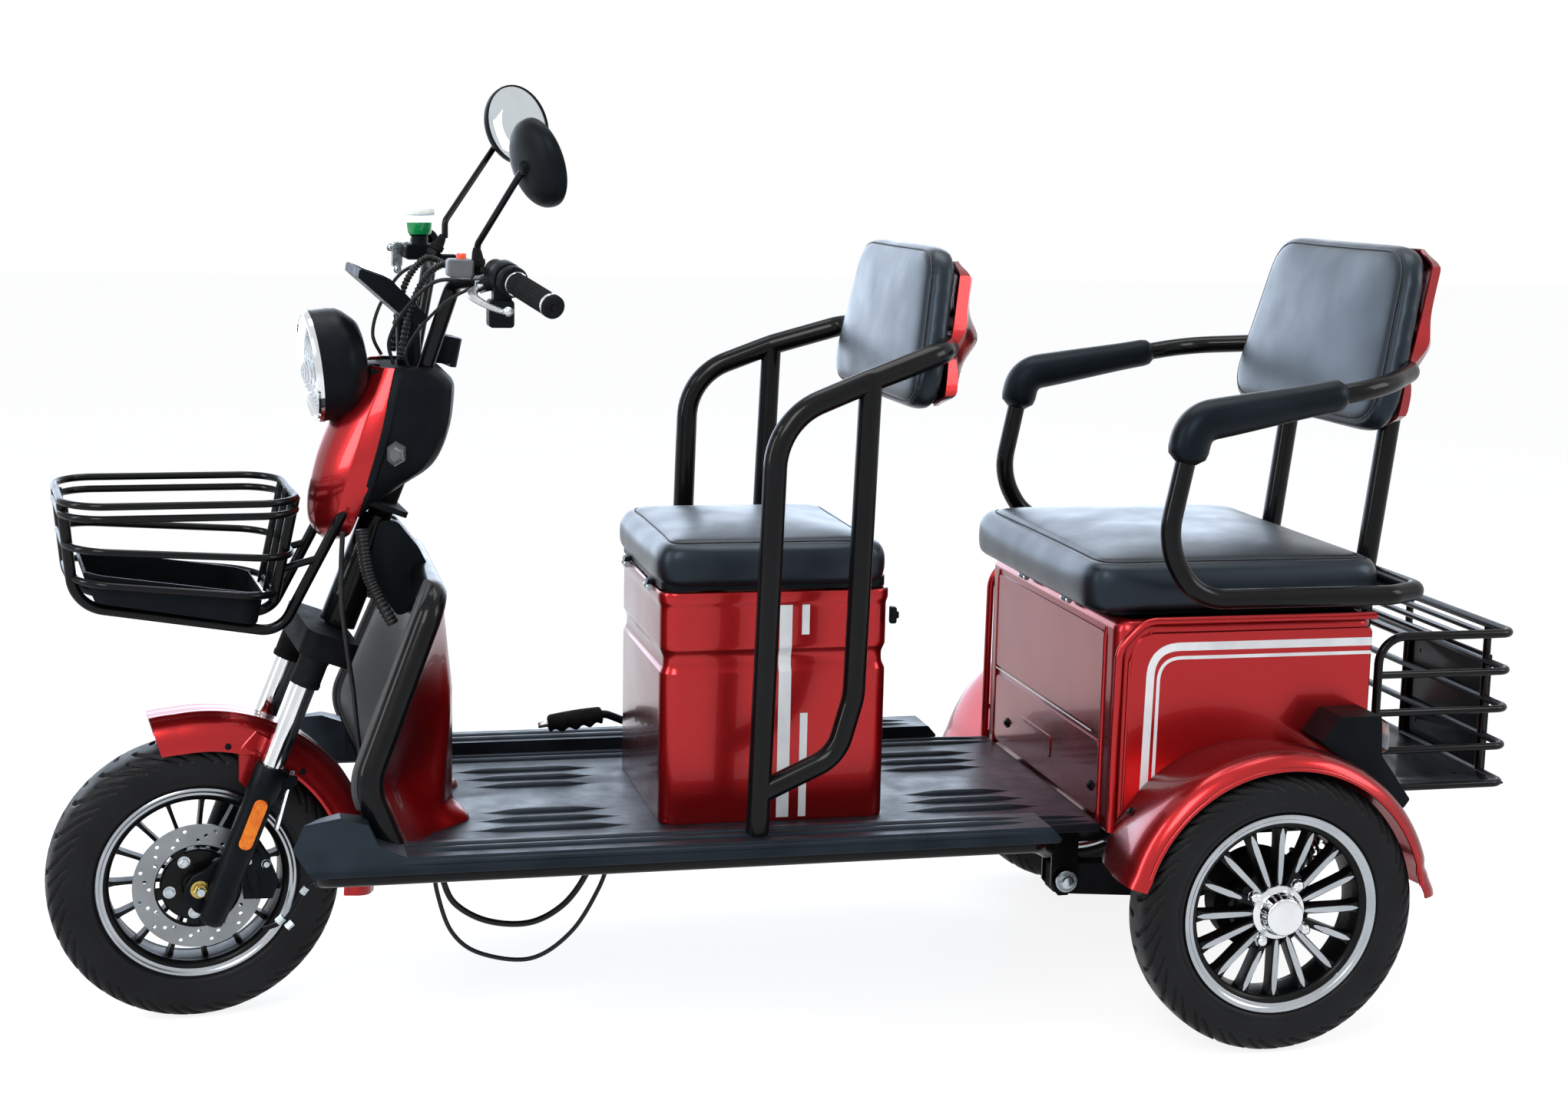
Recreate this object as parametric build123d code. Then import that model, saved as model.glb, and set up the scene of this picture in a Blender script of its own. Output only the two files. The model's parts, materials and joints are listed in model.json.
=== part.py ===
from build123d import *
import os
from math import cos, hypot, radians, sin, tan

# Electric tricycle with a driver's seat, a rear bench, a front basket and a rear rack.
# Lengths are millimetres. While it is built, X runs forward from the rear axle, Y to the left and Z up
# from the ground. At the end everything moves so that the origin lies on the ground under the middle of
# the whole vehicle.

# ---------------------------------------------------------------- driving dimensions
# wheels
WHEELBASE = 1464.0
REAR_TRACK = 798.0
TYRE_RADIUS = 202.0
TYRE_WIDTH = 84.0
BEAD_RADIUS = 131.0
RIM_LIP_RADIUS = 143.0
FRONT_LIP_RADIUS = 139.0
RIM_HALF_WIDTH = 37.0
RIM_LIP = 3.0
RIM_BARREL = 10.0
SPOKE_WIDTH = 9.0
FRONT_SPOKE_WIDTH = 6.0
FRONT_SPOKES = 15
REAR_SPOKES = 16
FRONT_HUB_RADIUS = 34.0
REAR_HUB_RADIUS = 40.0
FRONT_AXLE_RADIUS = 6.0
REAR_AXLE_RADIUS = 12.5
RUNNING_CLEARANCE = 0.08
WHEEL_NUT_CIRCLE = 46.0
DISC_RADIUS = 90.0
DISC_OFFSET = 45.0
DISC_THICKNESS = 4.0

# steering
RAKE = 21.5
REST_STEER = 7.8
CROWN_HEIGHT = 560.0
AXIS_AT_CROWN = 1262.0
LEG_SPACING = 75.0
LEG_OFFSET = 30.0
AXLE_OFFSET = 58.0
AXLE_DROP = 407.0
LUG_OUTER_Y = 62.0
AXLE_NUT = 10.0
NUT_GAP = 1.0
STANCHION_RADIUS = 16.5
SLIDER_RADIUS = 21.0
SLIDER_TOP = 218.0
HEAD_TUBE_LENGTH = 165.0
HEAD_TUBE_RADIUS = 26.0
STEM_RADIUS = 17.0
STEM_TOP = 335.0
HANDLEBAR_RADIUS = 11.1
GRIP_RADIUS = 15.0
GRIP_LENGTH = 118.0
BAR_END = 383.0

# basket
BASKET_REAR = 1328.0
BASKET_FRONT = 1636.0
BASKET_HALF_WIDTH = 108.0
BASKET_TOP = 755.0
BASKET_BAR = 5.0
BASKET_TUBE = 7.5
BASKET_CORNER = 55.0

# floor
FLOOR_TOP = 292.0
FLOOR_THICKNESS = 12.0
CROSS_BAR = 12.0
RAIL_HEIGHT = 30.0
RAIL_WIDTH = 40.0
RAIL_SPACING = 150.0
RAIL_WALL = 2.5
FLOOR_HALF_WIDTH = 260.0
FLOOR_FRONT = 1190.0
BOARD_EDGE = 340.0
BOARD_TOP = 312.0
BOARD_FRONT = 1338.0
BOARD_REAR = 290.0
EDGE_TUBE_RADIUS = 11.0

# leg shield
SHIELD_TUBE = 19.0
SHIELD_SHEET = 4.0
SHIELD_FOOT = (1196.0, 262.0, FLOOR_TOP)
SHIELD_BEND = (1240.0, 266.0, 392.0)
SHIELD_TOP = (1143.0, 212.0, 632.0)
SHIELD_REAR_FACE = 1110.0
SHIELD_FRONT_FACE = 1150.0
BACKBONE_X = 1132.4
BACKBONE_RADIUS = 17.0

# middle seat
MIDDLE_BOX_REAR = 500.0
MIDDLE_BOX_FRONT = 827.0
MIDDLE_BOX_HALF_WIDTH = 173.0
MIDDLE_BOX_TOP = 624.0
BOX_CORNER = 25.0
BOX_WALL = 4.0
MIDDLE_CUSHION_HALF_WIDTH = 185.0
MIDDLE_CUSHION_TOP = 708.0
HOOP_TUBE = 16.0
HOOP_WALL = 2.0
HOOP_Y = 300.0
HOOP_FOOT_X = 717.0

# rear seat and body
REAR_BOX_REAR = -195.0
REAR_BOX_FRONT = 198.0
REAR_BOX_HALF_WIDTH = 285.0
REAR_BOX_BOTTOM = 280.0
REAR_BOX_TOP = 591.0
REAR_CUSHION_HALF_WIDTH = 273.0
REAR_CUSHION_TOP = 687.0
REAR_CUSHION_REAR = -215.0
REAR_CUSHION_FRONT = 236.0
SEAT_RAIL_TUBE = 14.0
SEAT_RAIL_Y = 354.0
SEAT_RAIL_REAR = -234.0
SEAT_RAIL_Z = 633.0
UPRIGHT_Y = 165.0
PAN_THICKNESS = 14.0
SEAT_GAP = 3.0
SOFT_GAP = 0.4

# mudguards and rack
GUARD_SHEET = 3.0
GUARD_CROWN = 231.0
GUARD_LIP = 207.0
RACK_BAR = 6.5
RACK_REAR = -438.0
RACK_FRONT = -222.0
RACK_HALF_WIDTH = 250.0
RACK_TOP = 550.0
RACK_BOTTOM = 322.0
RACK_LOOPS = 5
RACK_POST_FOOT = 432.0
PLATE_LOW_Y = -70.0
PLATE_HIGH_Y = 180.0
RACK_SHEET = 3.0


# ---------------------------------------------------------------- shapes used by several pieces
def rod(start, end, radius):
    """Round bar from one point to another."""
    run = Vector(*end) - Vector(*start)
    return extrude(Plane(origin=start, z_dir=run) * Circle(radius), amount=run.length)


def tube(points, radii, radius, wall=0.0, closed=False):
    """Round tube along straight runs that arcs join."""
    path = FilletPolyline(*points, radius=radii, close=closed)
    section = Circle(radius) - Circle(radius - wall) if wall else Circle(radius)
    return sweep(Plane(origin=path @ 0, z_dir=path % 0) * section, path=path)


def side_plane(y):
    return Plane(origin=(0, y, 0), x_dir=(1, 0, 0), z_dir=(0, -1, 0))


def side_slab(outline, y_low, y_high, corner=0.0):
    """Flat piece seen from the side: an X-Z outline from one Y to another."""
    face = Polygon(*outline, align=None)
    if corner:
        face = fillet(face.vertices(), corner)
    return extrude(side_plane(y_high) * face, amount=y_high - y_low, dir=(0, -1, 0))


def plan_slab(outline, z_low, z_high, corner=0.0):
    """Flat piece seen from above: an X-Y outline from one Z to another."""
    face = Polygon(*outline, align=None)
    if corner:
        face = fillet(face.vertices(), corner)
    return extrude(Plane.XY.offset(z_low) * face, amount=z_high - z_low, dir=(0, 0, 1))


def block(x_low, x_high, y_low, y_high, z_low, z_high, corner=0.0):
    """Upright block between limits, with its vertical edges rounded."""
    centre = ((x_low + x_high) / 2, (y_low + y_high) / 2)
    size = (x_high - x_low, y_high - y_low)
    face = RectangleRounded(*size, corner) if corner else Rectangle(*size)
    return extrude(Pos(*centre, z_low) * face, amount=z_high - z_low)


def open_box(x_low, x_high, half_width, z_low, z_high, corner, wall):
    """Box with a floor and four walls, open at the top."""
    outer = block(x_low, x_high, -half_width, half_width, z_low, z_high, corner)
    inside = block(x_low + wall, x_high - wall, wall - half_width, half_width - wall,
                   z_low + wall, z_high + 1, corner - wall)
    return outer - inside


def ribbon(points, thickness):
    """Outline of a sheet that follows some points, with its thickness on their left-hand side."""
    far_side = []
    for index, (x, y) in enumerate(points):
        before = points[max(index - 1, 0)]
        after = points[min(index + 1, len(points) - 1)]
        dx, dy = after[0] - before[0], after[1] - before[1]
        length = hypot(dx, dy)
        far_side.append((x - dy / length * thickness, y + dx / length * thickness))
    return Polygon(*points, *reversed(far_side), align=None)


def wheel_arc(profile, start, end, centre=(0, 0, 0)):
    """Turn a (radius, Y) profile about a wheel's axis, from one angle above forward to another."""
    turned = revolve(Rot(0, -start, 0) * profile, axis=Axis((0, 0, 0), (0, -1, 0)),
                     revolution_arc=end - start)
    return Pos(*centre) * turned


def ring(inner, outer, y_low, y_high):
    """Flat ring about the Y axis."""
    section = Polygon((inner, y_low), (outer, y_low), (outer, y_high), (inner, y_high), align=None)
    return revolve(section, axis=Axis.Y)


def mirror_y(shape):
    return mirror(shape, about=Plane.XZ)


def both_sides(shape):
    return shape + mirror_y(shape)


# ---------------------------------------------------------------- steering geometry
SIN_RAKE = sin(radians(RAKE))
COS_RAKE = cos(radians(RAKE))
STEER_ORIGIN = Vector(AXIS_AT_CROWN, 0, CROWN_HEIGHT)
STEER_UP = Vector(-SIN_RAKE, 0, COS_RAKE)
STEER_FRONT = Vector(COS_RAKE, 0, SIN_RAKE)
STEER_PLANE = Plane(origin=STEER_ORIGIN, x_dir=STEER_FRONT, z_dir=STEER_UP)
STEER_AXIS = Axis(STEER_ORIGIN, STEER_UP)


def on_fork(forward, left, up):
    """Point given by its distances from the steering axis, the middle plane and the crown."""
    place = STEER_ORIGIN + STEER_FRONT * forward + Vector(0, left, 0) + STEER_UP * up
    return (place.X, place.Y, place.Z)


FRONT_AXLE = on_fork(AXLE_OFFSET, 0, -AXLE_DROP)

pieces = {}
turned_pieces = set()


def keep(name, shape, steers=False):
    """Store a finished piece under its node name."""
    pieces[name] = shape
    if steers:
        turned_pieces.add(name)


# ---------------------------------------------------------------- wheels
def tyre(lip):
    half = TYRE_WIDTH / 2
    seat = RIM_HALF_WIDTH - RIM_LIP - 0.5
    left = [
        (BEAD_RADIUS, seat),
        (lip + 1.5, seat),
        (lip + 8, half - 3),
        (lip + 24, half),
        (TYRE_RADIUS - 20, half),
        (TYRE_RADIUS - 7, half - 7),
        (TYRE_RADIUS, half - 21),
    ]
    right = [(radius, -y) for radius, y in reversed(left)]
    section = Polygon(*left, *right, align=None)
    shoulders = [corner for corner in section.vertices() if corner.X > lip + 20]
    return revolve(fillet(shoulders, 5), axis=Axis.Y)


def rim(lip, spokes, spoke_width, hub_radius, hub_low, hub_high, bore, spoke_low, spoke_high):
    inner = BEAD_RADIUS - RIM_BARREL
    barrel = ring(inner, BEAD_RADIUS, -RIM_HALF_WIDTH, RIM_HALF_WIDTH)
    for side in (-1, 1):
        edges = sorted((side * RIM_HALF_WIDTH, side * (RIM_HALF_WIDTH - RIM_LIP)))
        barrel += ring(inner, lip, *edges)
    wheel = barrel + ring(bore / 2, hub_radius, hub_low, hub_high)
    spoke = block(hub_radius - 3, inner + 3, spoke_low, spoke_high, -spoke_width / 2, spoke_width / 2)
    for number in range(spokes):
        wheel += Rot(0, number * 360 / spokes, 0) * spoke
    return wheel - ring(0, bore, hub_low - 60, hub_high + 60)


def at_front_axle(shape):
    return Pos(*FRONT_AXLE) * shape


def front_wheel():
    keep("front_tyre", at_front_axle(tyre(FRONT_LIP_RADIUS)), True)
    bore = FRONT_AXLE_RADIUS + RUNNING_CLEARANCE
    disc_face = DISC_OFFSET - DISC_THICKNESS / 2
    hub = rim(FRONT_LIP_RADIUS, FRONT_SPOKES, FRONT_SPOKE_WIDTH, FRONT_HUB_RADIUS, -32, disc_face, bore, -9, 9)
    keep("front_rim", at_front_axle(hub), True)
    disc = ring(bore + 14, DISC_RADIUS, disc_face, disc_face + DISC_THICKNESS)
    slot = Pos(64, DISC_OFFSET, 0) * Rot(90, 0, 0) * extrude(SlotOverall(26, 9), amount=8, both=True)
    for number in range(9):
        disc -= Rot(0, number * 40, 0) * slot
    keep("front_brake_disc", at_front_axle(disc), True)


REAR_HUB_INNER = -26.0
REAR_HUB_OUTER = 34.0
REAR_CAP_LENGTH = 24.0
REAR_CAP_RADIUS = 28.0


def rear_wheels():
    bore = REAR_AXLE_RADIUS + RUNNING_CLEARANCE
    wheel = rim(RIM_LIP_RADIUS, REAR_SPOKES, SPOKE_WIDTH, REAR_HUB_RADIUS, REAR_HUB_INNER, REAR_HUB_OUTER - 6,
                bore, 2, 28)
    wheel += ring(bore, WHEEL_NUT_CIRCLE + 12, REAR_HUB_INNER, 8)
    cap = ring(0, REAR_CAP_RADIUS, REAR_HUB_OUTER - 6, REAR_HUB_OUTER - 6 + REAR_CAP_LENGTH)
    cap -= ring(0, REAR_CAP_RADIUS - 4, REAR_HUB_OUTER - 7, REAR_HUB_OUTER - 10 + REAR_CAP_LENGTH)
    wheel += cap
    nut = Pos(WHEEL_NUT_CIRCLE, 8, 0) * Rot(-90, 0, 0) * Cylinder(9, 16, align=(Align.CENTER,) * 2 + (Align.MIN,))
    for number in range(4):
        wheel += Rot(0, 45 + number * 90, 0) * nut
    place = Pos(0, REAR_TRACK / 2, TYRE_RADIUS)
    for side, flip in (("left", lambda shape: shape), ("right", mirror_y)):
        keep(f"rear_tyre_{side}", flip(place * tyre(RIM_LIP_RADIUS)))
        keep(f"rear_rim_{side}", flip(place * wheel))


# ---------------------------------------------------------------- fork and front end
def steering_stem():
    crown = STEER_PLANE * block(-20, 56, -LEG_SPACING - 21, LEG_SPACING + 21, -42, -6, 18)
    stem = rod(on_fork(0, 0, -10), on_fork(0, 0, STEM_TOP), STEM_RADIUS)
    bracket_up = HEAD_TUBE_LENGTH + 14
    bracket = STEER_PLANE * block(-24, 66, -60, 60, bracket_up, bracket_up + 8, 10)
    clamp = rod(on_fork(0, 0, STEM_TOP - 14), HANDLEBAR_LOW, 13)
    clamp += block(HANDLEBAR_LOW[0] - 20, HANDLEBAR_LOW[0] + 20, -26, 26,
                   HANDLEBAR_LOW[2] - 18, HANDLEBAR_LOW[2] + 18, 8)
    whole = crown + stem + bracket + clamp - handlebar_solid()
    for side in (-1, 1):
        whole -= rod(on_fork(LEG_OFFSET, side * LEG_SPACING, -60), on_fork(LEG_OFFSET, side * LEG_SPACING, -14),
                     STANCHION_RADIUS)
    return whole


def stanchion_left():
    return rod(on_fork(LEG_OFFSET, LEG_SPACING, -SLIDER_TOP - 90), on_fork(LEG_OFFSET, LEG_SPACING, -14),
               STANCHION_RADIUS)


def slider_left():
    y = LEG_SPACING
    slider = rod(on_fork(LEG_OFFSET, y, -AXLE_DROP - 38), on_fork(LEG_OFFSET, y, -SLIDER_TOP), SLIDER_RADIUS)
    lug = block(LEG_OFFSET, AXLE_OFFSET + 16, y - SLIDER_RADIUS, LUG_OUTER_Y, -AXLE_DROP - 20, -AXLE_DROP + 24, 3)
    slider = slider + STEER_PLANE * lug - stanchion_left()
    slider -= rod(on_fork(AXLE_OFFSET, LUG_OUTER_Y, -AXLE_DROP), on_fork(AXLE_OFFSET, y + 60, -AXLE_DROP),
                  AXLE_NUT + NUT_GAP)
    return slider - rod(on_fork(AXLE_OFFSET, y - 60, -AXLE_DROP), on_fork(AXLE_OFFSET, y + 60, -AXLE_DROP),
                        FRONT_AXLE_RADIUS)


def front_axle():
    reach = LUG_OUTER_Y
    axle = rod(on_fork(AXLE_OFFSET, -reach - 14, -AXLE_DROP), on_fork(AXLE_OFFSET, reach + 14, -AXLE_DROP),
               FRONT_AXLE_RADIUS)
    for sign in (-1, 1):
        nut_face = sign * reach
        nut = Plane(origin=on_fork(AXLE_OFFSET, nut_face, -AXLE_DROP), z_dir=(0, sign, 0)) * RegularPolygon(AXLE_NUT, 6)
        axle += extrude(nut, amount=9)
    inner_faces = ((DISC_OFFSET + DISC_THICKNESS / 2 + 1, LEG_SPACING - SLIDER_RADIUS),
                   (SLIDER_RADIUS - LEG_SPACING, -33))
    for low, high in inner_faces:
        sleeve = ring(FRONT_AXLE_RADIUS, 12, low, high)
        axle += at_front_axle(sleeve)
    return axle


def front_mudguard():
    half = 49.0
    crown = 244.0
    profile = ribbon([(196, half + 2), (212, half), (232, half - 13), (crown - 2, 24), (crown, 0),
                      (crown - 2, -24), (232, 13 - half), (212, -half), (196, -half - 2)], -GUARD_SHEET)
    guard = wheel_arc(profile, 74, 190, (WHEELBASE - 8, 0, TYRE_RADIUS + 2))
    for sign in (-1, 1):
        low, high = sorted((sign * (half - 3), sign * (LEG_SPACING - SLIDER_RADIUS + 3)))
        guard += STEER_PLANE * block(LEG_OFFSET - 12, LEG_OFFSET + 12, low, high, -300, -240, 4)
        stay = side_slab([(1374, 300), (1404, 316), (1376, 386), (1344, 370)], half - 3, half)
        guard += stay if sign > 0 else mirror_y(stay)
    return guard


def fork_reflectors():
    """Upright reflectors on the outer faces of the sliders."""
    y = LEG_SPACING + SLIDER_RADIUS
    return both_sides(STEER_PLANE * block(LEG_OFFSET - 11, LEG_OFFSET + 11, y - 4, y + 4, -326, -250, 3))


def brake_caliper():
    face_in, face_out = DISC_OFFSET - 10, DISC_OFFSET + 17
    body = block(48, 100, face_in, face_out, -32, 32, 8)
    body -= block(40, DISC_RADIUS + 4, DISC_OFFSET - DISC_THICKNESS, DISC_OFFSET + DISC_THICKNESS, -40, 40)
    caliper = at_front_axle(Rot(0, -150, 0) * body)
    carrier = STEER_PLANE * block(-26, 24, DISC_OFFSET + DISC_THICKNESS + 1, LEG_SPACING - 12, -390, -340, 4)
    return caliper + carrier


HANDLEBAR_LOW = (1152.0, 0.0, 905.0)
HANDLEBAR_PATH = (
    (1057.0, BAR_END, 1050.0),
    (1084.0, 255.0, 1072.0),
    (1115.0, 82.0, 1050.0),
    (HANDLEBAR_LOW[0], 36.0, HANDLEBAR_LOW[2]),
)


def handlebar_solid(wall=0.0):
    left = list(HANDLEBAR_PATH)
    right = [(x, -y, z) for x, y, z in reversed(left)]
    return tube(left + right, [80, 34, 22, 22, 34, 80], HANDLEBAR_RADIUS, wall)


def along_bar(distance):
    """Point on the left grip's line, that far in from the bar's end."""
    end, bend = Vector(*HANDLEBAR_PATH[0]), Vector(*HANDLEBAR_PATH[1])
    return end + (bend - end).normalized() * distance


def bar_fittings():
    bar = handlebar_solid()
    keep("handlebar", handlebar_solid(1.8), True)
    keep("grips", both_sides(rod(along_bar(-4), along_bar(GRIP_LENGTH), GRIP_RADIUS)) - bar, True)
    hub = rod(along_bar(GRIP_LENGTH + 1), along_bar(GRIP_LENGTH + 34), 20)
    hub += rod(along_bar(GRIP_LENGTH + 32), along_bar(GRIP_LENGTH + 54), 17)
    start = along_bar(GRIP_LENGTH + 33)
    pivot = start + Vector(61, 1, -11)
    hub += rod(start, pivot, 9)
    keep("bar_switches", both_sides(hub) - bar, True)
    tip = along_bar(40) + Vector(66, 0, -4)
    blade = tube([pivot, pivot + Vector(6, 30, -4), tip], [20], 6)
    keep("brake_levers", both_sides(blade) - pieces["bar_switches"], True)


def reservoir():
    body = Box(44, 40, 30)
    body = fillet(body.edges().filter_by(Axis.Z), 10)
    foot = rod((1096, -160, 1062), (1109, -160, 1096), 12)
    return Pos(1112, -160, 1100) * Rot(9, 0, 0) * body + foot - handlebar_solid()


MIRROR_RADIUS = 59.0
MIRROR_DEPTH = 26.0
MIRROR_LIFT = 15.0


def mirror_arm(foot, clamp, head, turn):
    """Mirror head that faces back, inwards and a little up, on a bent stalk from its foot on the bar."""
    inward = -1 if head[1] > 0 else 1
    facing = Vector(-cos(radians(turn)), inward * sin(radians(turn)), tan(radians(MIRROR_LIFT)))
    facing = facing.normalized()
    profile = Polygon((0, 0), (MIRROR_RADIUS * 0.6, 0), (MIRROR_RADIUS * 0.86, MIRROR_DEPTH * 0.3),
                      (MIRROR_RADIUS, MIRROR_DEPTH * 0.7), (MIRROR_RADIUS, MIRROR_DEPTH), (0, MIRROR_DEPTH),
                      align=None)
    joint = Vector(*head) - facing * (MIRROR_DEPTH / 2)
    dish = Plane(origin=joint, z_dir=facing) * (Rot(90, 0, 0) * revolve(profile, axis=Axis.Y))
    stalk = tube([clamp, Vector(*clamp) + Vector(0, 0, 24), joint + facing * 6], [14], 5)
    boot = rod(foot, Vector(*clamp) + Vector(0, 0, 8), 9)
    return dish + stalk + boot


def mirrors():
    bar = handlebar_solid()
    left = mirror_arm((1100, 165, 1060), (1103, 165, 1084), (1050, 248, 1218), 16)
    right = mirror_arm((1106, -122, 1056), (1083, -122, 1091), (965, -199, 1248), 62)
    keep("mirrors", left + right - bar, True)


# height, rear X, front X and half width of the fairing that wraps the steering stem
FAIRING_SECTIONS = (
    (688, 1243, 1281, 34),
    (725, 1213, 1300, 62),
    (772, 1150, 1297, 82),
    (815, 1116, 1284, 88),
    (870, 1104, 1258, 80),
    (926, 1101, 1220, 62),
)
FAIRING_SHEET = 3.0
NECK_GAP = 6.0
FAIRING_JOINT_LOW = (1258.0, 680.0)
FAIRING_JOINT_HIGH = (1190.0, 930.0)


def fairing_solid(inset):
    faces = []
    for height, rear, front, half in FAIRING_SECTIONS:
        middle = (rear + front) / 2
        faces.append(Pos(middle, 0, height) * Ellipse((front - rear) / 2 - inset, half - inset))
    return loft(faces)


def fairing():
    shell = fairing_solid(0) - fairing_solid(FAIRING_SHEET)
    (low_x, low_z), (high_x, high_z) = FAIRING_JOINT_LOW, FAIRING_JOINT_HIGH
    front_side = side_slab([(low_x, low_z), (low_x + 200, low_z), (high_x + 260, high_z), (high_x, high_z)],
                           -150, 150)
    neck = rod(on_fork(0, 0, 0), on_fork(0, 0, HEAD_TUBE_LENGTH + NECK_GAP), HEAD_TUBE_RADIUS + NECK_GAP)
    room = neck + pieces["steering_stem"] + handlebar_solid()
    keep("cowl", (shell & front_side) - room - pieces["basket_frame"], True)
    keep("housing", shell - front_side - room - pieces["basket_frame"], True)


LAMP_RADIUS = 77.0
LAMP_TILT = 6.5


def headlamp():
    profile = Polygon((0, 0), (LAMP_RADIUS, 0), (LAMP_RADIUS, 22), (LAMP_RADIUS - 6, 44), (52, 66), (34, 74),
                      (0, 76), align=None)
    bucket = revolve(profile, axis=Axis.Y)
    lens = revolve(Polygon((0, 0), (LAMP_RADIUS - 4, 0), (56, -9), (30, -14), (0, -16), align=None),
                   axis=Axis.Y)
    place = Pos(1296, 0, 925) * Rot(0, LAMP_TILT, 0) * Rot(0, 0, 90)
    bracket = block(1205, 1240, -22, 22, 900, 930, 5)
    keep("headlamp", place * bucket + bracket - fairing_solid(0), True)
    keep("headlamp_lens", place * lens, True)


def indicators():
    lamps = rod((1196, 78, 815), (1203, 112, 818), 17)
    return both_sides(lamps) - fairing_solid(0)


def instrument_pod():
    """Wedge with the display, on a short post, with the key barrel behind the handlebar clamp."""
    outline = [(1150, 986), (1146, 1000), (1196, 1050), (1238, 1064), (1240, 1052), (1204, 1020), (1172, 992)]
    pod = side_slab(outline, -50, 50, 3)
    pod += rod((1160, 0, 915), (1162, 0, 1002), 17)
    pod += rod((1107, -18, 922), (1099, -18, 962), 18) + block(1108, 1138, -29, -7, 918, 934, 4)
    return pod - handlebar_solid() - fairing_solid(0) - pieces["headlamp"] - pieces["steering_stem"]


# rear height, front height, rear X, front X and half width of each basket loop
BASKET_LOOPS = (
    (BASKET_TOP, BASKET_TOP + 5, 0, 0, 0),
    (738, 743, 0, 0, 0),
    (676, 700, 6, 4, 9),
    (620, 654, 26, 10, 18),
)


def basket_loop(rear_z, front_z, rear_in, front_in, side_in):
    rear, front = BASKET_REAR + rear_in, BASKET_FRONT - front_in
    half = BASKET_HALF_WIDTH - side_in
    corners = [(rear, -half, rear_z), (front, -half, front_z), (front, half, front_z), (rear, half, rear_z)]
    return tube(corners, BASKET_CORNER, BASKET_BAR, closed=True)


def basket_carriers():
    """Two tubes that are the front posts, the runs below the tray and the legs up to the stem."""
    carriers = []
    top = on_fork(66, 0, HEAD_TUBE_LENGTH + 8)
    for y in (-54, 54):
        path = [(BASKET_FRONT - 3, y, BASKET_TOP), (BASKET_FRONT - 15, y, 615), (1350, y, 564),
                (top[0] - 6, y, top[2])]
        carriers.append(tube(path, [50, 38], BASKET_TUBE))
    return carriers


def basket():
    frame = basket_loop(*BASKET_LOOPS[0])
    for loop in BASKET_LOOPS[1:]:
        frame += basket_loop(*loop)
    for carrier in basket_carriers():
        frame += carrier
    for y in (-54, 0, 54):
        frame += rod((BASKET_REAR, y, BASKET_TOP), (BASKET_REAR + 30, y, 610), BASKET_TUBE)
    frame += rod((BASKET_REAR + 30, -58, 612), (BASKET_REAR + 30, 58, 612), BASKET_BAR)
    for y in (-54, 54):
        frame += rod((BASKET_REAR + 20, y, 653), (1290, y, 668), BASKET_BAR)
    keep("basket_frame", frame, True)


def tray_solid(inset, lift):
    half = BASKET_HALF_WIDTH - 26 - inset
    rear, front = BASKET_REAR + 44 + inset, BASKET_FRONT - 24 - inset
    outline = [(rear, 625), (front, 665), (front - 16, 624 + lift), (rear + 12, 582 + lift)]
    side = side_slab(outline, -half, half, 5)
    plan = block(rear, front, -half, half, 560, 700, 34 - inset)
    return side & plan


def basket_tray():
    inside = tray_solid(3, 3)
    mouth = Pos(0, 0, 3) * inside
    return tray_solid(0, 0) - inside - mouth - pieces["basket_frame"]


def front_end():
    keep("steering_stem", steering_stem(), True)
    keep("fork_stanchions", both_sides(stanchion_left()), True)
    keep("fork_sliders", both_sides(slider_left()), True)
    keep("front_axle", front_axle() - pieces["fork_sliders"], True)
    keep("fork_reflectors", fork_reflectors() - pieces["fork_sliders"], True)
    keep("front_mudguard", front_mudguard() - pieces["fork_sliders"], True)
    keep("brake_caliper", brake_caliper() - pieces["fork_sliders"], True)
    bar_fittings()
    keep("brake_reservoir", reservoir(), True)
    mirrors()
    basket()
    keep("basket_tray", basket_tray(), True)
    fairing()
    headlamp()
    keep("indicators", indicators(), True)
    keep("instrument_pod", instrument_pod(), True)


# ---------------------------------------------------------------- chassis and floor
RAIL_TOP = FLOOR_TOP - FLOOR_THICKNESS - CROSS_BAR
RAIL_BOTTOM = RAIL_TOP - RAIL_HEIGHT
RAIL_REAR = -205.0
POST_Y = 192.0
ARM_PIVOT = (242.0, 205.0, 200.0)
SHOCK_LOW = (-60.0, 240.0, 172.0)
SHOCK_HIGH = (-216.0, 200.0, 270.0)
CROSS_PLACES = (1175, 1000, 800, 560, 330, 170, 0, -170)


def chassis_rails():
    """Two box-section rails with flat cross members that carry the floor and the rear box."""
    y_in, y_out = RAIL_SPACING - RAIL_WIDTH / 2, RAIL_SPACING + RAIL_WIDTH / 2
    rail = block(RAIL_REAR, FLOOR_FRONT, y_in, y_out, RAIL_BOTTOM, RAIL_TOP)
    rail -= block(RAIL_REAR - 1, FLOOR_FRONT + 1, y_in + RAIL_WALL, y_out - RAIL_WALL,
                  RAIL_BOTTOM + RAIL_WALL, RAIL_TOP - RAIL_WALL)
    frame = both_sides(rail)
    for x in CROSS_PLACES:
        frame += block(x - 15, x + 15, -255, 255, RAIL_TOP, RAIL_TOP + CROSS_BAR)
    return frame


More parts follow.
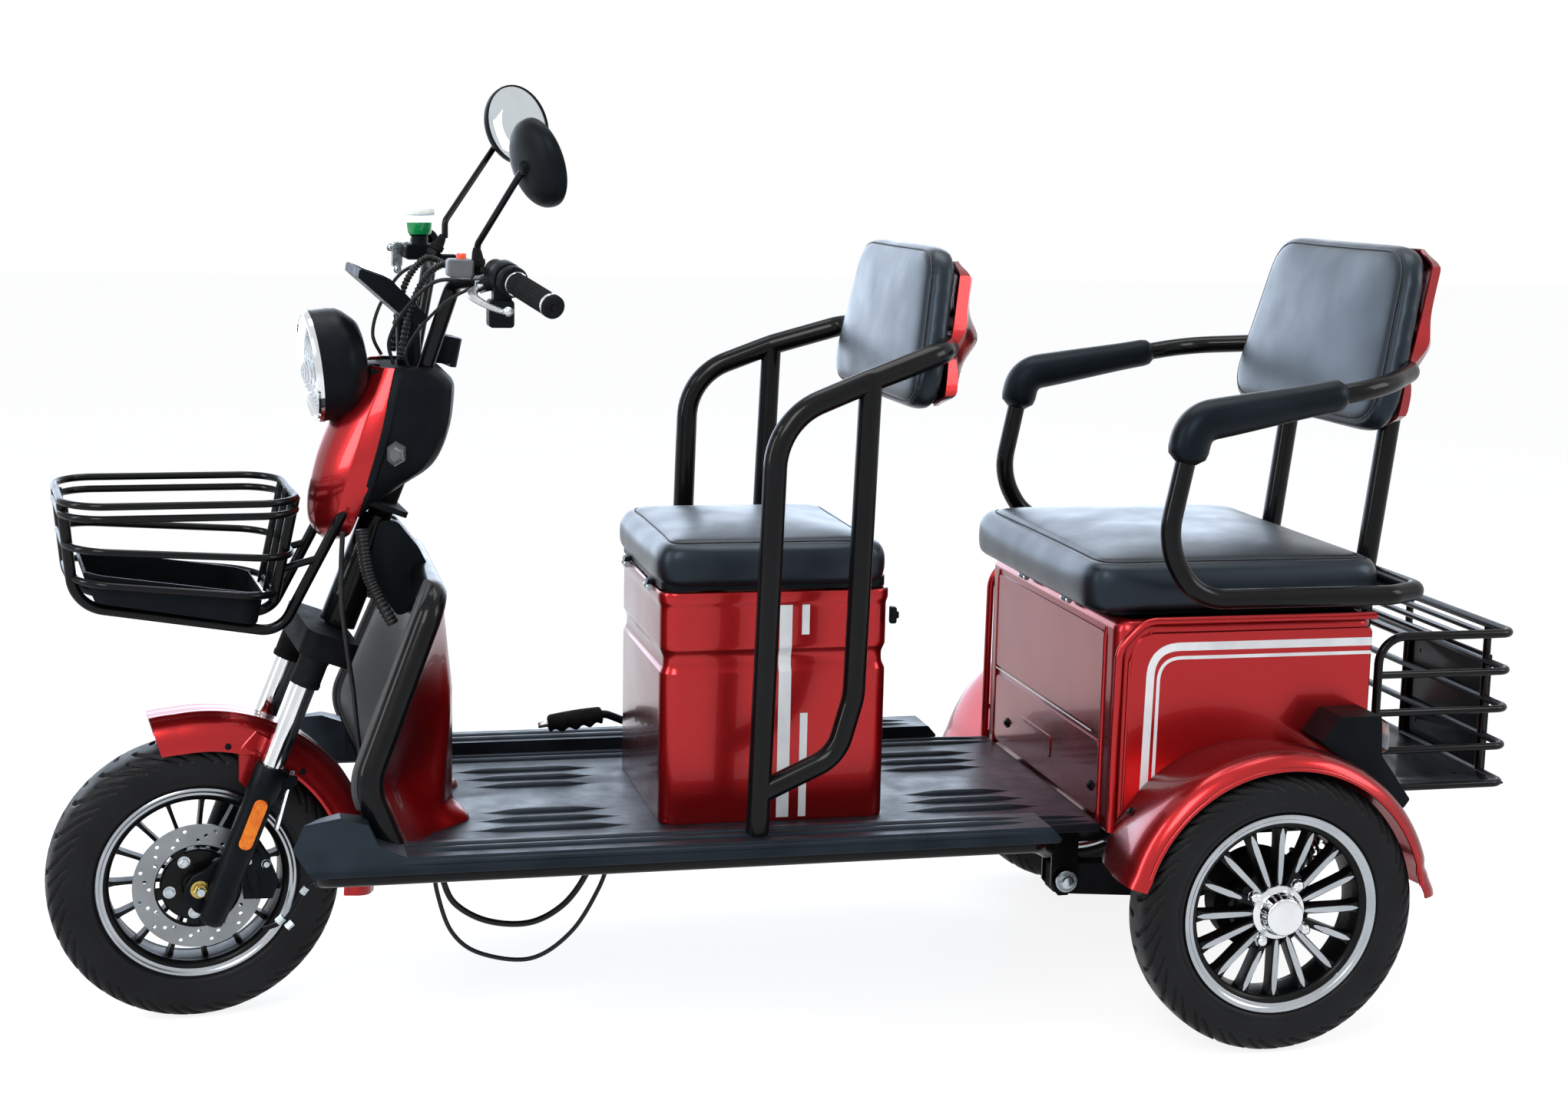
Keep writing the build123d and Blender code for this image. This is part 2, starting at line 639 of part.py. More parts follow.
def backbone():
    """Head tube, with the tube that runs from it down through the leg shield to the rails."""
    head = rod(on_fork(0, 0, 0), on_fork(0, 0, HEAD_TUBE_LENGTH), HEAD_TUBE_RADIUS)
    high = on_fork(0, 0, 66)
    spine = tube([high, (BACKBONE_X, 0, 578), (BACKBONE_X, 0, RAIL_TOP - 20)], [40], BACKBONE_RADIUS)
    foot = block(BACKBONE_X - 20, BACKBONE_X + 20, -RAIL_SPACING + RAIL_WIDTH / 2, RAIL_SPACING - RAIL_WIDTH / 2,
                 RAIL_BOTTOM, RAIL_TOP)
    gusset = side_slab([(BACKBONE_X, 560), (1200, 590), (1170, 640), (BACKBONE_X + 4, 636)], -4, 4)
    bore = rod(on_fork(0, 0, -1), on_fork(0, 0, HEAD_TUBE_LENGTH + 1), STEM_RADIUS + RUNNING_CLEARANCE)
    return head + spine + foot + gusset - bore


def edge_tube():
    """Tube that carries the outer edge of one running board."""
    low, high = RAIL_TOP - 14, RAIL_TOP + 15
    points = [(1150, RAIL_SPACING + RAIL_WIDTH / 2 - 2, low), (1280, 235, low + 4), (1312, 318, high),
              (320, 318, high), (290, 280, low + 8), (250, RAIL_SPACING + RAIL_WIDTH / 2 - 2, low)]
    return tube(points, [40, 30, 24, 20], EDGE_TUBE_RADIUS)


def running_board():
    """Raised plastic edge of the floor, with a nose in front of the leg shield's foot."""
    outline = [(BOARD_REAR, 296), (BOARD_REAR + 14, BOARD_TOP), (1190, BOARD_TOP), (1226, 324), (1238, 350),
               (1274, 360), (BOARD_FRONT - 10, 352), (BOARD_FRONT, 328), (BOARD_FRONT - 26, 290),
               (BOARD_REAR + 4, 290)]
    board = side_slab(outline, FLOOR_HALF_WIDTH, BOARD_EDGE, 3)
    edge = [(FLOOR_HALF_WIDTH - 5, 285), (BOARD_EDGE - 4, 285), (BOARD_EDGE, 292), (BOARD_EDGE, 300),
            (BOARD_EDGE - 8, BOARD_TOP), (BOARD_EDGE - 22, 330), (BOARD_EDGE - 40, 365),
            (FLOOR_HALF_WIDTH - 5, 365)]
    profile = Plane(origin=(BOARD_REAR - 10, 0, 0), x_dir=(0, 1, 0), z_dir=(1, 0, 0)) * Polygon(*edge, align=None)
    board = board & extrude(profile, amount=BOARD_FRONT - BOARD_REAR + 20, dir=(1, 0, 0))
    nose_trim = plan_slab([(1240, 200), (1400, 200), (1400, BOARD_EDGE + 10), (1345, BOARD_EDGE + 10),
                           (1345, 330), (1300, 285), (1240, 262)], 200, 400)
    return board - nose_trim


def floor_board():
    return block(REAR_BOX_FRONT + 6, FLOOR_FRONT, -FLOOR_HALF_WIDTH, FLOOR_HALF_WIDTH,
                 FLOOR_TOP - FLOOR_THICKNESS, FLOOR_TOP)


def rear_carrier():
    """Welded frame behind the box that holds the rack, the seat rail and the shock absorbers."""
    top = RACK_BOTTOM - RACK_BAR - 2
    bar = block(RAIL_REAR - 20, RAIL_REAR + 2, RAIL_SPACING - 12, RAIL_SPACING + 12, RAIL_BOTTOM, top)
    bar += block(RACK_REAR + 14, RAIL_REAR - 18, RAIL_SPACING - 12, RAIL_SPACING + 12, top - 20, top)
    bar += block(RAIL_REAR - 20, RAIL_REAR, RAIL_SPACING, POST_Y + 8, top - 20, top)
    bar += block(RAIL_REAR - 17, RAIL_REAR - 5, SHOCK_HIGH[1] - 8, SHOCK_HIGH[1] + 8, SHOCK_HIGH[2] - 12, top - 2)
    bar += rod((RAIL_REAR - 10, POST_Y, top - 10), (SEAT_RAIL_REAR + 4, POST_Y, SEAT_RAIL_Z), 8)
    return bar


def pivot_bracket():
    """Ears that hang from a rail and hold the swing arm's bolt."""
    bracket = block(222, 262, RAIL_SPACING, ARM_PIVOT[1] + 21, RAIL_TOP - 4, RAIL_TOP)
    for offset in (-21, 17):
        low = ARM_PIVOT[1] + offset
        bracket += side_slab([(262, 268), (222, 268), (222, 190), (236, 176), (250, 176), (262, 190)], low, low + 4)
    return bracket + rod((ARM_PIVOT[0], ARM_PIVOT[1] - 26, ARM_PIVOT[2]),
                         (ARM_PIVOT[0], ARM_PIVOT[1] + 30, ARM_PIVOT[2]), 9)


def uprights():
    """Two posts from the seat rail up to the rear backrest."""
    return both_sides(rod((SEAT_RAIL_REAR, UPRIGHT_Y, SEAT_RAIL_Z), (-262, UPRIGHT_Y, 878), 15.5))


def chassis():
    frame = backbone() + chassis_rails() + both_sides(edge_tube()) + both_sides(rear_carrier())
    frame += both_sides(pivot_bracket())
    keep("chassis_frame", frame - seat_rail_solid())


def floor():
    """Floor board and running boards, cut out where the tubes pass through."""
    tubes = (both_sides(edge_tube()), shield_tube(), seat_frame(), both_sides(hoop_branch()))
    for name, board in (("floor_board", floor_board()), ("running_boards", both_sides(running_board()))):
        for passing in tubes:
            board -= passing
        keep(name, board - pieces["chassis_frame"])


# ---------------------------------------------------------------- leg shield
def shield_tube(wall=0.0):
    left = [(SHIELD_FOOT[0], SHIELD_FOOT[1], FLOOR_TOP - FLOOR_THICKNESS), SHIELD_BEND, SHIELD_TOP]
    right = [(x, -y, z) for x, y, z in reversed(left)]
    return tube(left + right, [70, 46, 46, 70], SHIELD_TUBE, wall)


def shield_edge(z):
    """X and Y of the hoop's centre line at a height."""
    (low_x, low_y, low_z) = SHIELD_FOOT if z < SHIELD_BEND[2] else SHIELD_BEND
    (high_x, high_y, high_z) = SHIELD_BEND if z < SHIELD_BEND[2] else SHIELD_TOP
    share = (z - low_z) / (high_z - low_z)
    return low_x + (high_x - low_x) * share, low_y + (high_y - low_y) * share


def shield_panel(face_x, half_flat, shift, heights, lean=0.0):
    """Sheet across the hoop, flat in the middle, with wings that sweep forward to the tube."""
    sections = []
    for z in heights:
        edge_x, edge_y = shield_edge(z)
        edge_x += shift
        middle_x = min(face_x + max(z - 480, 0) * lean, edge_x - 4)
        points = [(edge_x, edge_y), (middle_x + 10, half_flat + 22), (middle_x, half_flat),
                  (middle_x, -half_flat), (middle_x + 10, -half_flat - 22), (edge_x, -edge_y)]
        sections.append(Pos(0, 0, z) * ribbon(points, SHIELD_SHEET))
    return loft(sections, ruled=True)


def neck_cover():
    outline = [(1204, 712), (1178, 708), (1150, 672), (1130, 632), (1121, 598), (1180, 574), (1222, 640)]
    cover = side_slab(outline, -38, 38, 10)
    inside = side_slab(outline, -34, 34, 10)
    head = rod(on_fork(0, 0, -20), on_fork(0, 0, HEAD_TUBE_LENGTH + 30), HEAD_TUBE_RADIUS + 1)
    return cover - Pos(5, 0, -4) * inside - head


def leg_shield():
    spine = pieces["chassis_frame"]
    solid_hoop = shield_tube()
    keep("shield_hoop", shield_tube(2.0) - spine)
    rear = shield_panel(SHIELD_REAR_FACE, 92, -6, (FLOOR_TOP, 350, 392, 480, 540, 598), 0.1)
    keep("leg_shield_rear", rear - solid_hoop - spine)
    front = shield_panel(SHIELD_FRONT_FACE, 110, 10, (FLOOR_TOP + 4, 350, 392, 480, 560, 598))
    keep("leg_shield_front", front - solid_hoop - spine - pieces["floor_board"] - pieces["running_boards"])
    cover = neck_cover() - solid_hoop - spine - pieces["leg_shield_rear"] - pieces["leg_shield_front"]
    keep("neck_cover", cover)


# ---------------------------------------------------------------- seat hinges
HINGE_RADIUS = 4.5
HINGE_PIN = 2.2
HINGE_KNUCKLE = 18.0
HINGE_REACH = 7.0
HINGE_PLACES = (-95.0, 95.0)


def hinge_fixed(x, z, face_x):
    """Two ears and a pin at each hinge place, on a box's front face."""
    parts = None
    for y in HINGE_PLACES:
        pin_reach = HINGE_KNUCKLE / 2 + 7
        hinge = rod((x, y - pin_reach, z), (x, y + pin_reach, z), HINGE_PIN)
        for sign in (-1, 1):
            low, high = sorted((y + sign * (HINGE_KNUCKLE / 2 + 0.5), y + sign * (HINGE_KNUCKLE / 2 + 6)))
            hinge += rod((x, low, z), (x, high, z), HINGE_RADIUS)
            hinge += block(face_x - 1, x, low, high, z - HINGE_RADIUS, z - 1)
        parts = hinge if parts is None else parts + hinge
    return parts


def hinge_moving(x, z, pan_x, pan_z):
    """The knuckle at each hinge place, on an arm from a seat pan."""
    parts = None
    half = HINGE_KNUCKLE / 2
    for y in HINGE_PLACES:
        knuckle = rod((x, y - half, z), (x, y + half, z), HINGE_RADIUS)
        knuckle += side_slab([(pan_x - 2, pan_z), (pan_x - 2, pan_z + 6), (x + 2, pan_z + 4),
                              (x + HINGE_RADIUS - 0.5, z + 2), (x, z)], y - half, y + half)
        knuckle -= rod((x, y - half - 1, z), (x, y + half + 1, z), HINGE_PIN + RUNNING_CLEARANCE)
        parts = knuckle if parts is None else parts + knuckle
    return parts


# ---------------------------------------------------------------- middle seat
MIDDLE_HINGE = (MIDDLE_BOX_FRONT + HINGE_REACH, MIDDLE_BOX_TOP - 3.0)
HOOP_BEND = (701.0, 308.0, 879.0)
HOOP_JOIN = (571.0, 295.0, 930.0)
HOOP_END = (462.0, 262.0, 965.0)
HOOP_BACK = (426.0, 170.0, 966.0)
NOTCH_RADIUS = 23.0


def seat_frame(wall=0.0):
    """One tube: up from the left running board, round behind the backrest and down on the right."""
    left = [(HOOP_FOOT_X, HOOP_Y, RAIL_TOP + 8), HOOP_BEND, HOOP_JOIN, HOOP_END, HOOP_BACK]
    right = [(x, -y, z) for x, y, z in reversed(left)]
    return tube(left + right, [95, 40, 40, 36, 36, 40, 40, 95], HOOP_TUBE, wall)


def hoop_branch(wall=0.0):
    """Rear tube from the top of the hoop down and forward to its front tube."""
    points = [HOOP_JOIN, (585, HOOP_Y, 500), (608, HOOP_Y, 418), (HOOP_FOOT_X, HOOP_Y + 1, 368)]
    return tube(points, [90, 60], HOOP_TUBE - 0.5, wall)


def backrest_pad(x_low, x_high, z_low, z_high, half_low, half_high, corner, thickness):
    """Padded slab that leans back, with rounded corners: X at its front face, low and high."""
    height = hypot(z_high - z_low, x_high - x_low)
    lean = Vector(x_high - x_low, 0, z_high - z_low).normalized()
    facing = Vector(lean.Z, 0, -lean.X)
    plane = Plane(origin=(x_low, 0, z_low), x_dir=(0, 1, 0), z_dir=facing)
    outline = Polygon((-half_low, 0), (half_low, 0), (half_high, height), (-half_high, height), align=None)
    face = fillet(outline.vertices(), corner)
    return extrude(plane * face, amount=thickness, dir=facing * -1)


def backrest_shell(x_low, x_high, z_low, z_high, half_low, half_high, corner, depth, ridge, foot,
                   tube_place):
    """Cover behind a pad, with a ridge and a foot as shares of its depth, cut out where the arm tubes enter."""
    lean = (x_high - x_low) / (z_high - z_low)
    middle_z = (z_low + z_high) / 2 - 20

    def x_at(z):
        return x_low + lean * (z - z_low)

    outline = [(x_low, z_low), (x_at(z_high), z_high), (x_at(z_high) - depth * 0.55, z_high - 18),
               (x_at(middle_z) - depth * 0.7, middle_z + 60), (x_at(middle_z) - depth * ridge, middle_z),
               (x_at(z_low) - depth * foot, z_low - 6)]
    shell = side_slab(outline, -half_low, half_low, 4)
    plan_cut = plan_slab([(x_low - 200, half_high - 70), (x_low - 20, half_low), (x_low + 60, half_low + 1),
                          (x_low + 60, half_low + 90), (x_low - 200, half_low + 90)], z_low - 40, z_high + 40)
    shell -= plan_cut
    shell -= mirror_y(plan_cut)
    rear_view = Polygon((-half_low, z_low - 6), (half_low, z_low - 6), (half_high, z_high), (-half_high, z_high),
                        align=None)
    rear_view = fillet(rear_view.vertices(), corner)
    facing = Plane(origin=(x_low - 250, 0, 0), x_dir=(0, 1, 0), z_dir=(1, 0, 0))
    shell = shell & extrude(facing * rear_view, amount=500, dir=(1, 0, 0))
    hollow = [(x_low + 30, z_low + 8), (x_at(z_high) + 30, z_high - 8), (x_at(z_high) - depth * 0.4, z_high - 24),
              (x_at(middle_z) - depth * 0.55, middle_z + 60),
              (x_at(middle_z) - depth * ridge + 9, middle_z), (x_at(z_low) - depth * foot + 9, z_low + 4)]
    shell -= side_slab(hollow, -half_high + 45, half_high - 45)
    tube_x, tube_y, tube_z = tube_place
    notch = rod((tube_x, half_low + 60, tube_z), (tube_x, tube_y - 44, tube_z), NOTCH_RADIUS)
    return shell - notch - mirror_y(notch)


def middle_seat():
    box = open_box(MIDDLE_BOX_REAR, MIDDLE_BOX_FRONT, MIDDLE_BOX_HALF_WIDTH, FLOOR_TOP, MIDDLE_BOX_TOP,
                   BOX_CORNER, BOX_WALL)
    keep("middle_box", box + hinge_fixed(*MIDDLE_HINGE, MIDDLE_BOX_FRONT))
    pan_z = MIDDLE_BOX_TOP + SEAT_GAP
    pan = block(MIDDLE_BOX_REAR + 4, MIDDLE_BOX_FRONT, -MIDDLE_BOX_HALF_WIDTH - 2, MIDDLE_BOX_HALF_WIDTH + 2,
                pan_z, pan_z + PAN_THICKNESS, BOX_CORNER)
    keep("middle_seat_pan", pan + hinge_moving(*MIDDLE_HINGE, MIDDLE_BOX_FRONT, pan_z))
    cushion = block(MIDDLE_BOX_REAR + 5, MIDDLE_BOX_FRONT + 6, -MIDDLE_CUSHION_HALF_WIDTH,
                    MIDDLE_CUSHION_HALF_WIDTH, pan_z + PAN_THICKNESS + SOFT_GAP, MIDDLE_CUSHION_TOP, 30)
    cushion = fillet(cushion.faces().sort_by(Axis.Z)[-1].edges(), 22)
    keep("middle_cushion", cushion)
    solid_tube = seat_frame()
    frame = seat_frame(HOOP_WALL) + (both_sides(hoop_branch(HOOP_WALL)) - solid_tube)
    keep("middle_seat_frame", frame - pieces["chassis_frame"])
    shell = backrest_shell(446, 412, 884, 1086, 228, 180, 50, 50, 0.62, 0.62, (456, 243, 963))
    pad = backrest_pad(504, 468, 886, 1106, 226, 176, 52, 52) - solid_tube
    keep("middle_backrest_pad", pad)
    keep("middle_backrest_shell", shell - solid_tube - pad)


# ---------------------------------------------------------------- rear body and bench
REAR_HINGE = (REAR_BOX_FRONT + HINGE_REACH + 3.0, REAR_BOX_TOP - 3.0)
ARM_PATH = (
    (-150.0, SEAT_RAIL_Y - 2, 926.0),
    (130.0, SEAT_RAIL_Y, 878.0),
    (163.0, SEAT_RAIL_Y, 712.0),
    (116.0, SEAT_RAIL_Y, SEAT_RAIL_Z),
    (-180.0, SEAT_RAIL_Y, SEAT_RAIL_Z),
)
ARM_BEND = 58.0
ARM_KNEE_BEND = 106.0
ARM_FOOT_BEND = 76.0
ARM_PAD_RADIUS = 27.0


def seat_rail_solid(wall=0.0):
    """One bent tube: left arm, lower rail, round the back of the seat, right rail and right arm."""
    left = [(-268.0, 160.0, 940.0), (-240.0, 256.0, 938.0), *ARM_PATH, (SEAT_RAIL_REAR, 326.0, SEAT_RAIL_Z)]
    left_radii = [60, 120, ARM_BEND, ARM_KNEE_BEND, ARM_FOOT_BEND, 26, 26]
    right = [(x, -y, z) for x, y, z in reversed(left)]
    return tube(left + right, left_radii + left_radii[::-1], SEAT_RAIL_TUBE, wall)


def arm_pad():
    """Closed sleeve that follows the arm tube round its front bend, rounded at both ends."""
    back, bend, foot = (Vector(*point) for point in ARM_PATH[:3])
    start = back + (bend - back).normalized() * 60
    end = bend + (foot - bend).normalized() * 56
    pad = tube([start, bend, end], [ARM_BEND], ARM_PAD_RADIUS)
    ends = pad.faces().filter_by(GeomType.PLANE).edges()
    return fillet(ends, 11) - seat_rail_solid()


def rear_seat():
    box = open_box(REAR_BOX_REAR, REAR_BOX_FRONT, REAR_BOX_HALF_WIDTH, REAR_BOX_BOTTOM, REAR_BOX_TOP,
                   BOX_CORNER, BOX_WALL)
    hatch = block(REAR_BOX_FRONT - 1, REAR_BOX_FRONT + 3, -196, 196, 300, 468)
    keep("rear_box", box + hatch + hinge_fixed(*REAR_HINGE, REAR_BOX_FRONT) - pieces["chassis_frame"])
    keep("battery_block", block(-70, 126, -195, 195, REAR_BOX_BOTTOM + BOX_WALL, 455))
    pan_z = REAR_BOX_TOP + SEAT_GAP
    pan = block(REAR_BOX_REAR - 14, REAR_BOX_FRONT + 4, -258, 258, pan_z, pan_z + PAN_THICKNESS, BOX_CORNER)
    keep("rear_seat_pan", pan + hinge_moving(*REAR_HINGE, REAR_BOX_FRONT + 4, pan_z))
    low = pan_z + PAN_THICKNESS + SOFT_GAP
    cushion = block(REAR_CUSHION_REAR, REAR_CUSHION_FRONT, -REAR_CUSHION_HALF_WIDTH, REAR_CUSHION_HALF_WIDTH,
                    low, REAR_CUSHION_TOP, 34)
    cushion = fillet(cushion.faces().sort_by(Axis.Z)[-1].edges(), 26)
    keep("rear_cushion", cushion)
    keep("arm_pads", both_sides(arm_pad()))
    solid_rail = seat_rail_solid()
    back_pad = backrest_pad(-172, -233, 856, 1118, 250, 212, 60, 52) - solid_rail
    posts = uprights() - back_pad
    shell = backrest_shell(-226, -288, 850, 1112, 250, 225, 58, 46, 1.12, 0.8, (-243, 256, 938))
    keep("rear_backrest_pad", back_pad)
    keep("rear_backrest_shell", shell - solid_rail - back_pad - posts)
    keep("seat_rail", seat_rail_solid(HOOP_WALL) + (posts - solid_rail))


# ---------------------------------------------------------------- mudguards, lamps and rack
def rear_mudguard_left():
    inner_y = REAR_BOX_HALF_WIDTH + 0.5
    profile = ribbon([(214, inner_y), (221, 330), (228, 372), (GUARD_CROWN, 404), (227, 428), (219, 440),
                      (GUARD_LIP, 446)], -GUARD_SHEET)
    return wheel_arc(profile, 12, 176, (0, 0, TYRE_RADIUS))


def tail_lamp_left():
    outline = [(-84, 424), (-112, 460), (-174, 460), (-178, 402), (-226, 336), (-216, 322), (-150, 372)]
    body = side_slab(outline, REAR_BOX_HALF_WIDTH + 1, 360, 4)
    swept = ring(0, GUARD_CROWN + 1, REAR_BOX_HALF_WIDTH - 5, 460)
    body -= Pos(0, 0, TYRE_RADIUS) * swept
    lens = side_slab([(-174, 456), (-188, 450), (-190, 404), (-177, 400)], REAR_BOX_HALF_WIDTH + 8, 355)
    return body - lens, lens


def rack():
    """Horizontal loops on posts, with slats across the top, a floor plate and an upright rear plate."""
    step = (RACK_TOP - RACK_BOTTOM) / (RACK_LOOPS - 1)
    frame = rack_floor()
    for number in range(RACK_LOOPS - 1):
        z = RACK_BOTTOM + number * step
        frame += tube([(RACK_FRONT - 3, -RACK_HALF_WIDTH, z), (RACK_REAR, -RACK_HALF_WIDTH, z),
                       (RACK_REAR, RACK_HALF_WIDTH, z), (RACK_FRONT - 3, RACK_HALF_WIDTH, z)],
                      [20, 20], RACK_BAR - 1)
    top_loop = [(RACK_FRONT, RACK_POST_FOOT), (RACK_FRONT, RACK_TOP), (RACK_REAR, RACK_TOP)]
    left = [(x, RACK_HALF_WIDTH, z) for x, z in top_loop]
    right = [(x, -y, z) for x, y, z in reversed(left)]
    frame += tube(left + right, [40, 20, 20, 40], RACK_BAR)
    for y in (PLATE_LOW_Y + 4, PLATE_HIGH_Y - 4):
        frame += rod((RACK_REAR - 1, y, RACK_BOTTOM - 6), (RACK_REAR - 1, y, RACK_TOP), RACK_BAR - 0.5)
    frame += rod((RACK_FRONT - 46, -RACK_HALF_WIDTH, RACK_TOP), (RACK_FRONT - 46, RACK_HALF_WIDTH, RACK_TOP),
                 RACK_BAR - 0.8)
    for number in range(2, 5):
        x = RACK_FRONT + (RACK_REAR - RACK_FRONT) * number / 5
        frame += rod((x, -RACK_HALF_WIDTH, RACK_TOP), (x, RACK_HALF_WIDTH, RACK_TOP), RACK_BAR - 2)
    return frame + rack_plate()


def rack_floor():
    floor = block(RACK_REAR, RACK_FRONT, -RACK_HALF_WIDTH, RACK_HALF_WIDTH, RACK_BOTTOM - RACK_SHEET / 2,
                  RACK_BOTTOM + RACK_SHEET / 2)
    for x in RACK_HOLES_X:
        for y in RACK_HOLES_Y:
            floor -= Pos(x, y, RACK_BOTTOM) * Cylinder(RACK_HOLE_RADIUS, 20)
    return floor


RACK_HOLE_RADIUS = 4.25
RACK_HOLES_X = (-390.0, -270.0)
RACK_HOLES_Y = (-190.0, 190.0)
PLATE_HOLE_RADIUS = 3.2
PLATE_HOLES_Y = (-30.0, 140.0)
PLATE_HOLES_Z = (350.0, 465.0)


def rack_plate():
    """Upright plate on the rear of the rack, drilled for a number plate or a lamp."""
    plate = block(RACK_REAR - 9, RACK_REAR - 5, PLATE_LOW_Y, PLATE_HIGH_Y, RACK_BOTTOM - 8, RACK_TOP - 48)
    for y in PLATE_HOLES_Y:
        for z in PLATE_HOLES_Z:
            plate -= Pos(RACK_REAR - 8, y, z) * Rot(0, 90, 0) * Cylinder(PLATE_HOLE_RADIUS, 20)
    return plate


def rear_end():
    guard = rear_mudguard_left()
    keep("rear_mudguards", both_sides(guard) - pieces["chassis_frame"])
    body, lens = tail_lamp_left()
    keep("tail_lamps", both_sides(body) - pieces["chassis_frame"])
    keep("tail_lenses", both_sides(lens))
    keep("rear_rack", rack() - pieces["chassis_frame"])


# ---------------------------------------------------------------- drive and suspension


def rear_axle():
    """Axle tube with a brake back plate and a shaft stub at each end."""
    half = REAR_TRACK / 2
    inner = half + REAR_HUB_INNER - 2
    axle = Pos(14, -40, -2) * Rot(90, 0, 0) * Cylinder(62, 180)
    axle += ring(0, 30, -inner + 30, inner - 30)
    axle += ring(0, REAR_AXLE_RADIUS, -half - REAR_HUB_OUTER + 8, half + REAR_HUB_OUTER - 8)
    for sign in (-1, 1):
        low, high = sorted((sign * (inner - 34), sign * inner))
        axle += ring(0, 72, low, high)
    axle = Pos(0, 0, TYRE_RADIUS) * axle
    return axle + both_sides(block(-76, -16, SHOCK_LOW[1] - 8, SHOCK_LOW[1] + 8, 158, 194, 4))


def swing_arm():
    """Two box arms on a cross tube, from a pivot under the box to the axle."""
    arm = side_slab([(258, 222), (258, 180), (230, 176), (30, 160), (-34, 176), (-34, 214), (200, 220)],
                    ARM_PIVOT[1] - 15, ARM_PIVOT[1] + 15, 6)
    arms = both_sides(arm)
    arms += rod((200, -190, 196), (200, 190, 196), 16)
    return arms - pieces["rear_axle"]


def shock_left():
    """Short coil-over damper between the axle and the frame behind the box."""
    low, high = Vector(*SHOCK_LOW), Vector(*SHOCK_HIGH)
    run = (high - low).normalized()
    return rod(low, high, 8) + rod(low + run * 26, high - run * 24, 19)


def hand_brake():
    """Lever beside the middle box, with a ribbed grip."""
    y = -MIDDLE_BOX_HALF_WIDTH - 26
    lever = tube([(742, y, 322), (846, y, 366), (930, y, 354)], [40], 6)
    grip = rod((850, y, 365), (932, y, 354), 14)
    foot = block(716, 768, y - 12, y + 12, FLOOR_TOP, FLOOR_TOP + 4)
    cheek = side_slab([(718, FLOOR_TOP + 3), (766, FLOOR_TOP + 3), (756, 338), (734, 338)], y - 12, y - 9)
    return lever + grip + foot + cheek + mirror(cheek, about=Plane.XZ.offset(-y)) + rod(
        (742, y - 14, 324), (742, y + 14, 324), 5)


def drive():
    keep("rear_axle", rear_axle())
    keep("swing_arm", swing_arm() - pieces["chassis_frame"])
    shocks = both_sides(shock_left()) - pieces["rear_axle"] - pieces["swing_arm"] - pieces["chassis_frame"]
    keep("shock_absorbers", shocks)
    keep("hand_brake", hand_brake())


# ---------------------------------------------------------------- cables
def head_cables():
    """Conduit and control cable that bend between the steering head and the leg shield."""
    conduit = tube([(1231, 78, 705), (1226, 80, 645), (1206, 86, 606), (1190, 96, 575)], [90, 90], 8.5)
    control = tube([(1257, 92, 705), (1262, 99, 640), (1258, 114, 575), (1248, 122, 500), (1238, 142, 400),
                    (1216, 150, 310)], [200, 200, 200, 200], 3.5)
    loose = conduit + control - pieces["chassis_frame"] - pieces["leg_shield_front"]
    keep("head_cables", loose - pieces["neck_cover"])


def cables():
    """Cables that hang below the floor."""
    thick = tube([(1130, 92, 238), (1112, 92, 185), (1060, 93, 140), (1000, 93, 132), (950, 94, 160),
                  (915, 94, 210), (908, 94, 238)], [40, 60, 70, 60, 40], 4.5)
    thin = tube([(1138, 110, 238), (1127, 110, 150), (1075, 109, 98), (1000, 109, 84), (940, 108, 122),
                 (895, 108, 200), (885, 108, 238)], [50, 60, 70, 70, 40], 3.2)
    keep("cables", thick + thin - pieces["chassis_frame"])


# ---------------------------------------------------------------- build and write
def build():
    front_wheel()
    rear_wheels()
    front_end()
    chassis()
    floor()
    leg_shield()
    middle_seat()
    rear_seat()
    rear_end()
    drive()
    head_cables()
    cables()


build()
os.makedirs("parts", exist_ok=True)

# The steering rests a little to the left. Turning it lowers the wheel slightly, so the fork and all on it
# slide along the steering axis until the front tyre meets the ground again.
turned_tyre = pieces["front_tyre"].rotate(STEER_AXIS, REST_STEER)
settle = STEER_UP * (-turned_tyre.bounding_box().min.Z / COS_RAKE)
front_end_x = turned_tyre.bounding_box().max.X
rear_end_x = RACK_REAR - 10
CENTRE_X = (front_end_x + rear_end_x) / 2

for name, shape in pieces.items():
    if name in turned_pieces:
        shape = Pos(settle) * shape.rotate(STEER_AXIS, REST_STEER)
    shape = Pos(-CENTRE_X, 0, 0) * shape
    export_step(shape, f"parts/{name}.step")

print("origin shift", round(CENTRE_X, 4), "settle", tuple(round(value, 5) for value in settle))
print("nodes", len(pieces))
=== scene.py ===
import json
import math

import bmesh
import bpy
from mathutils import Matrix, Vector
from mathutils.bvhtree import BVHTree


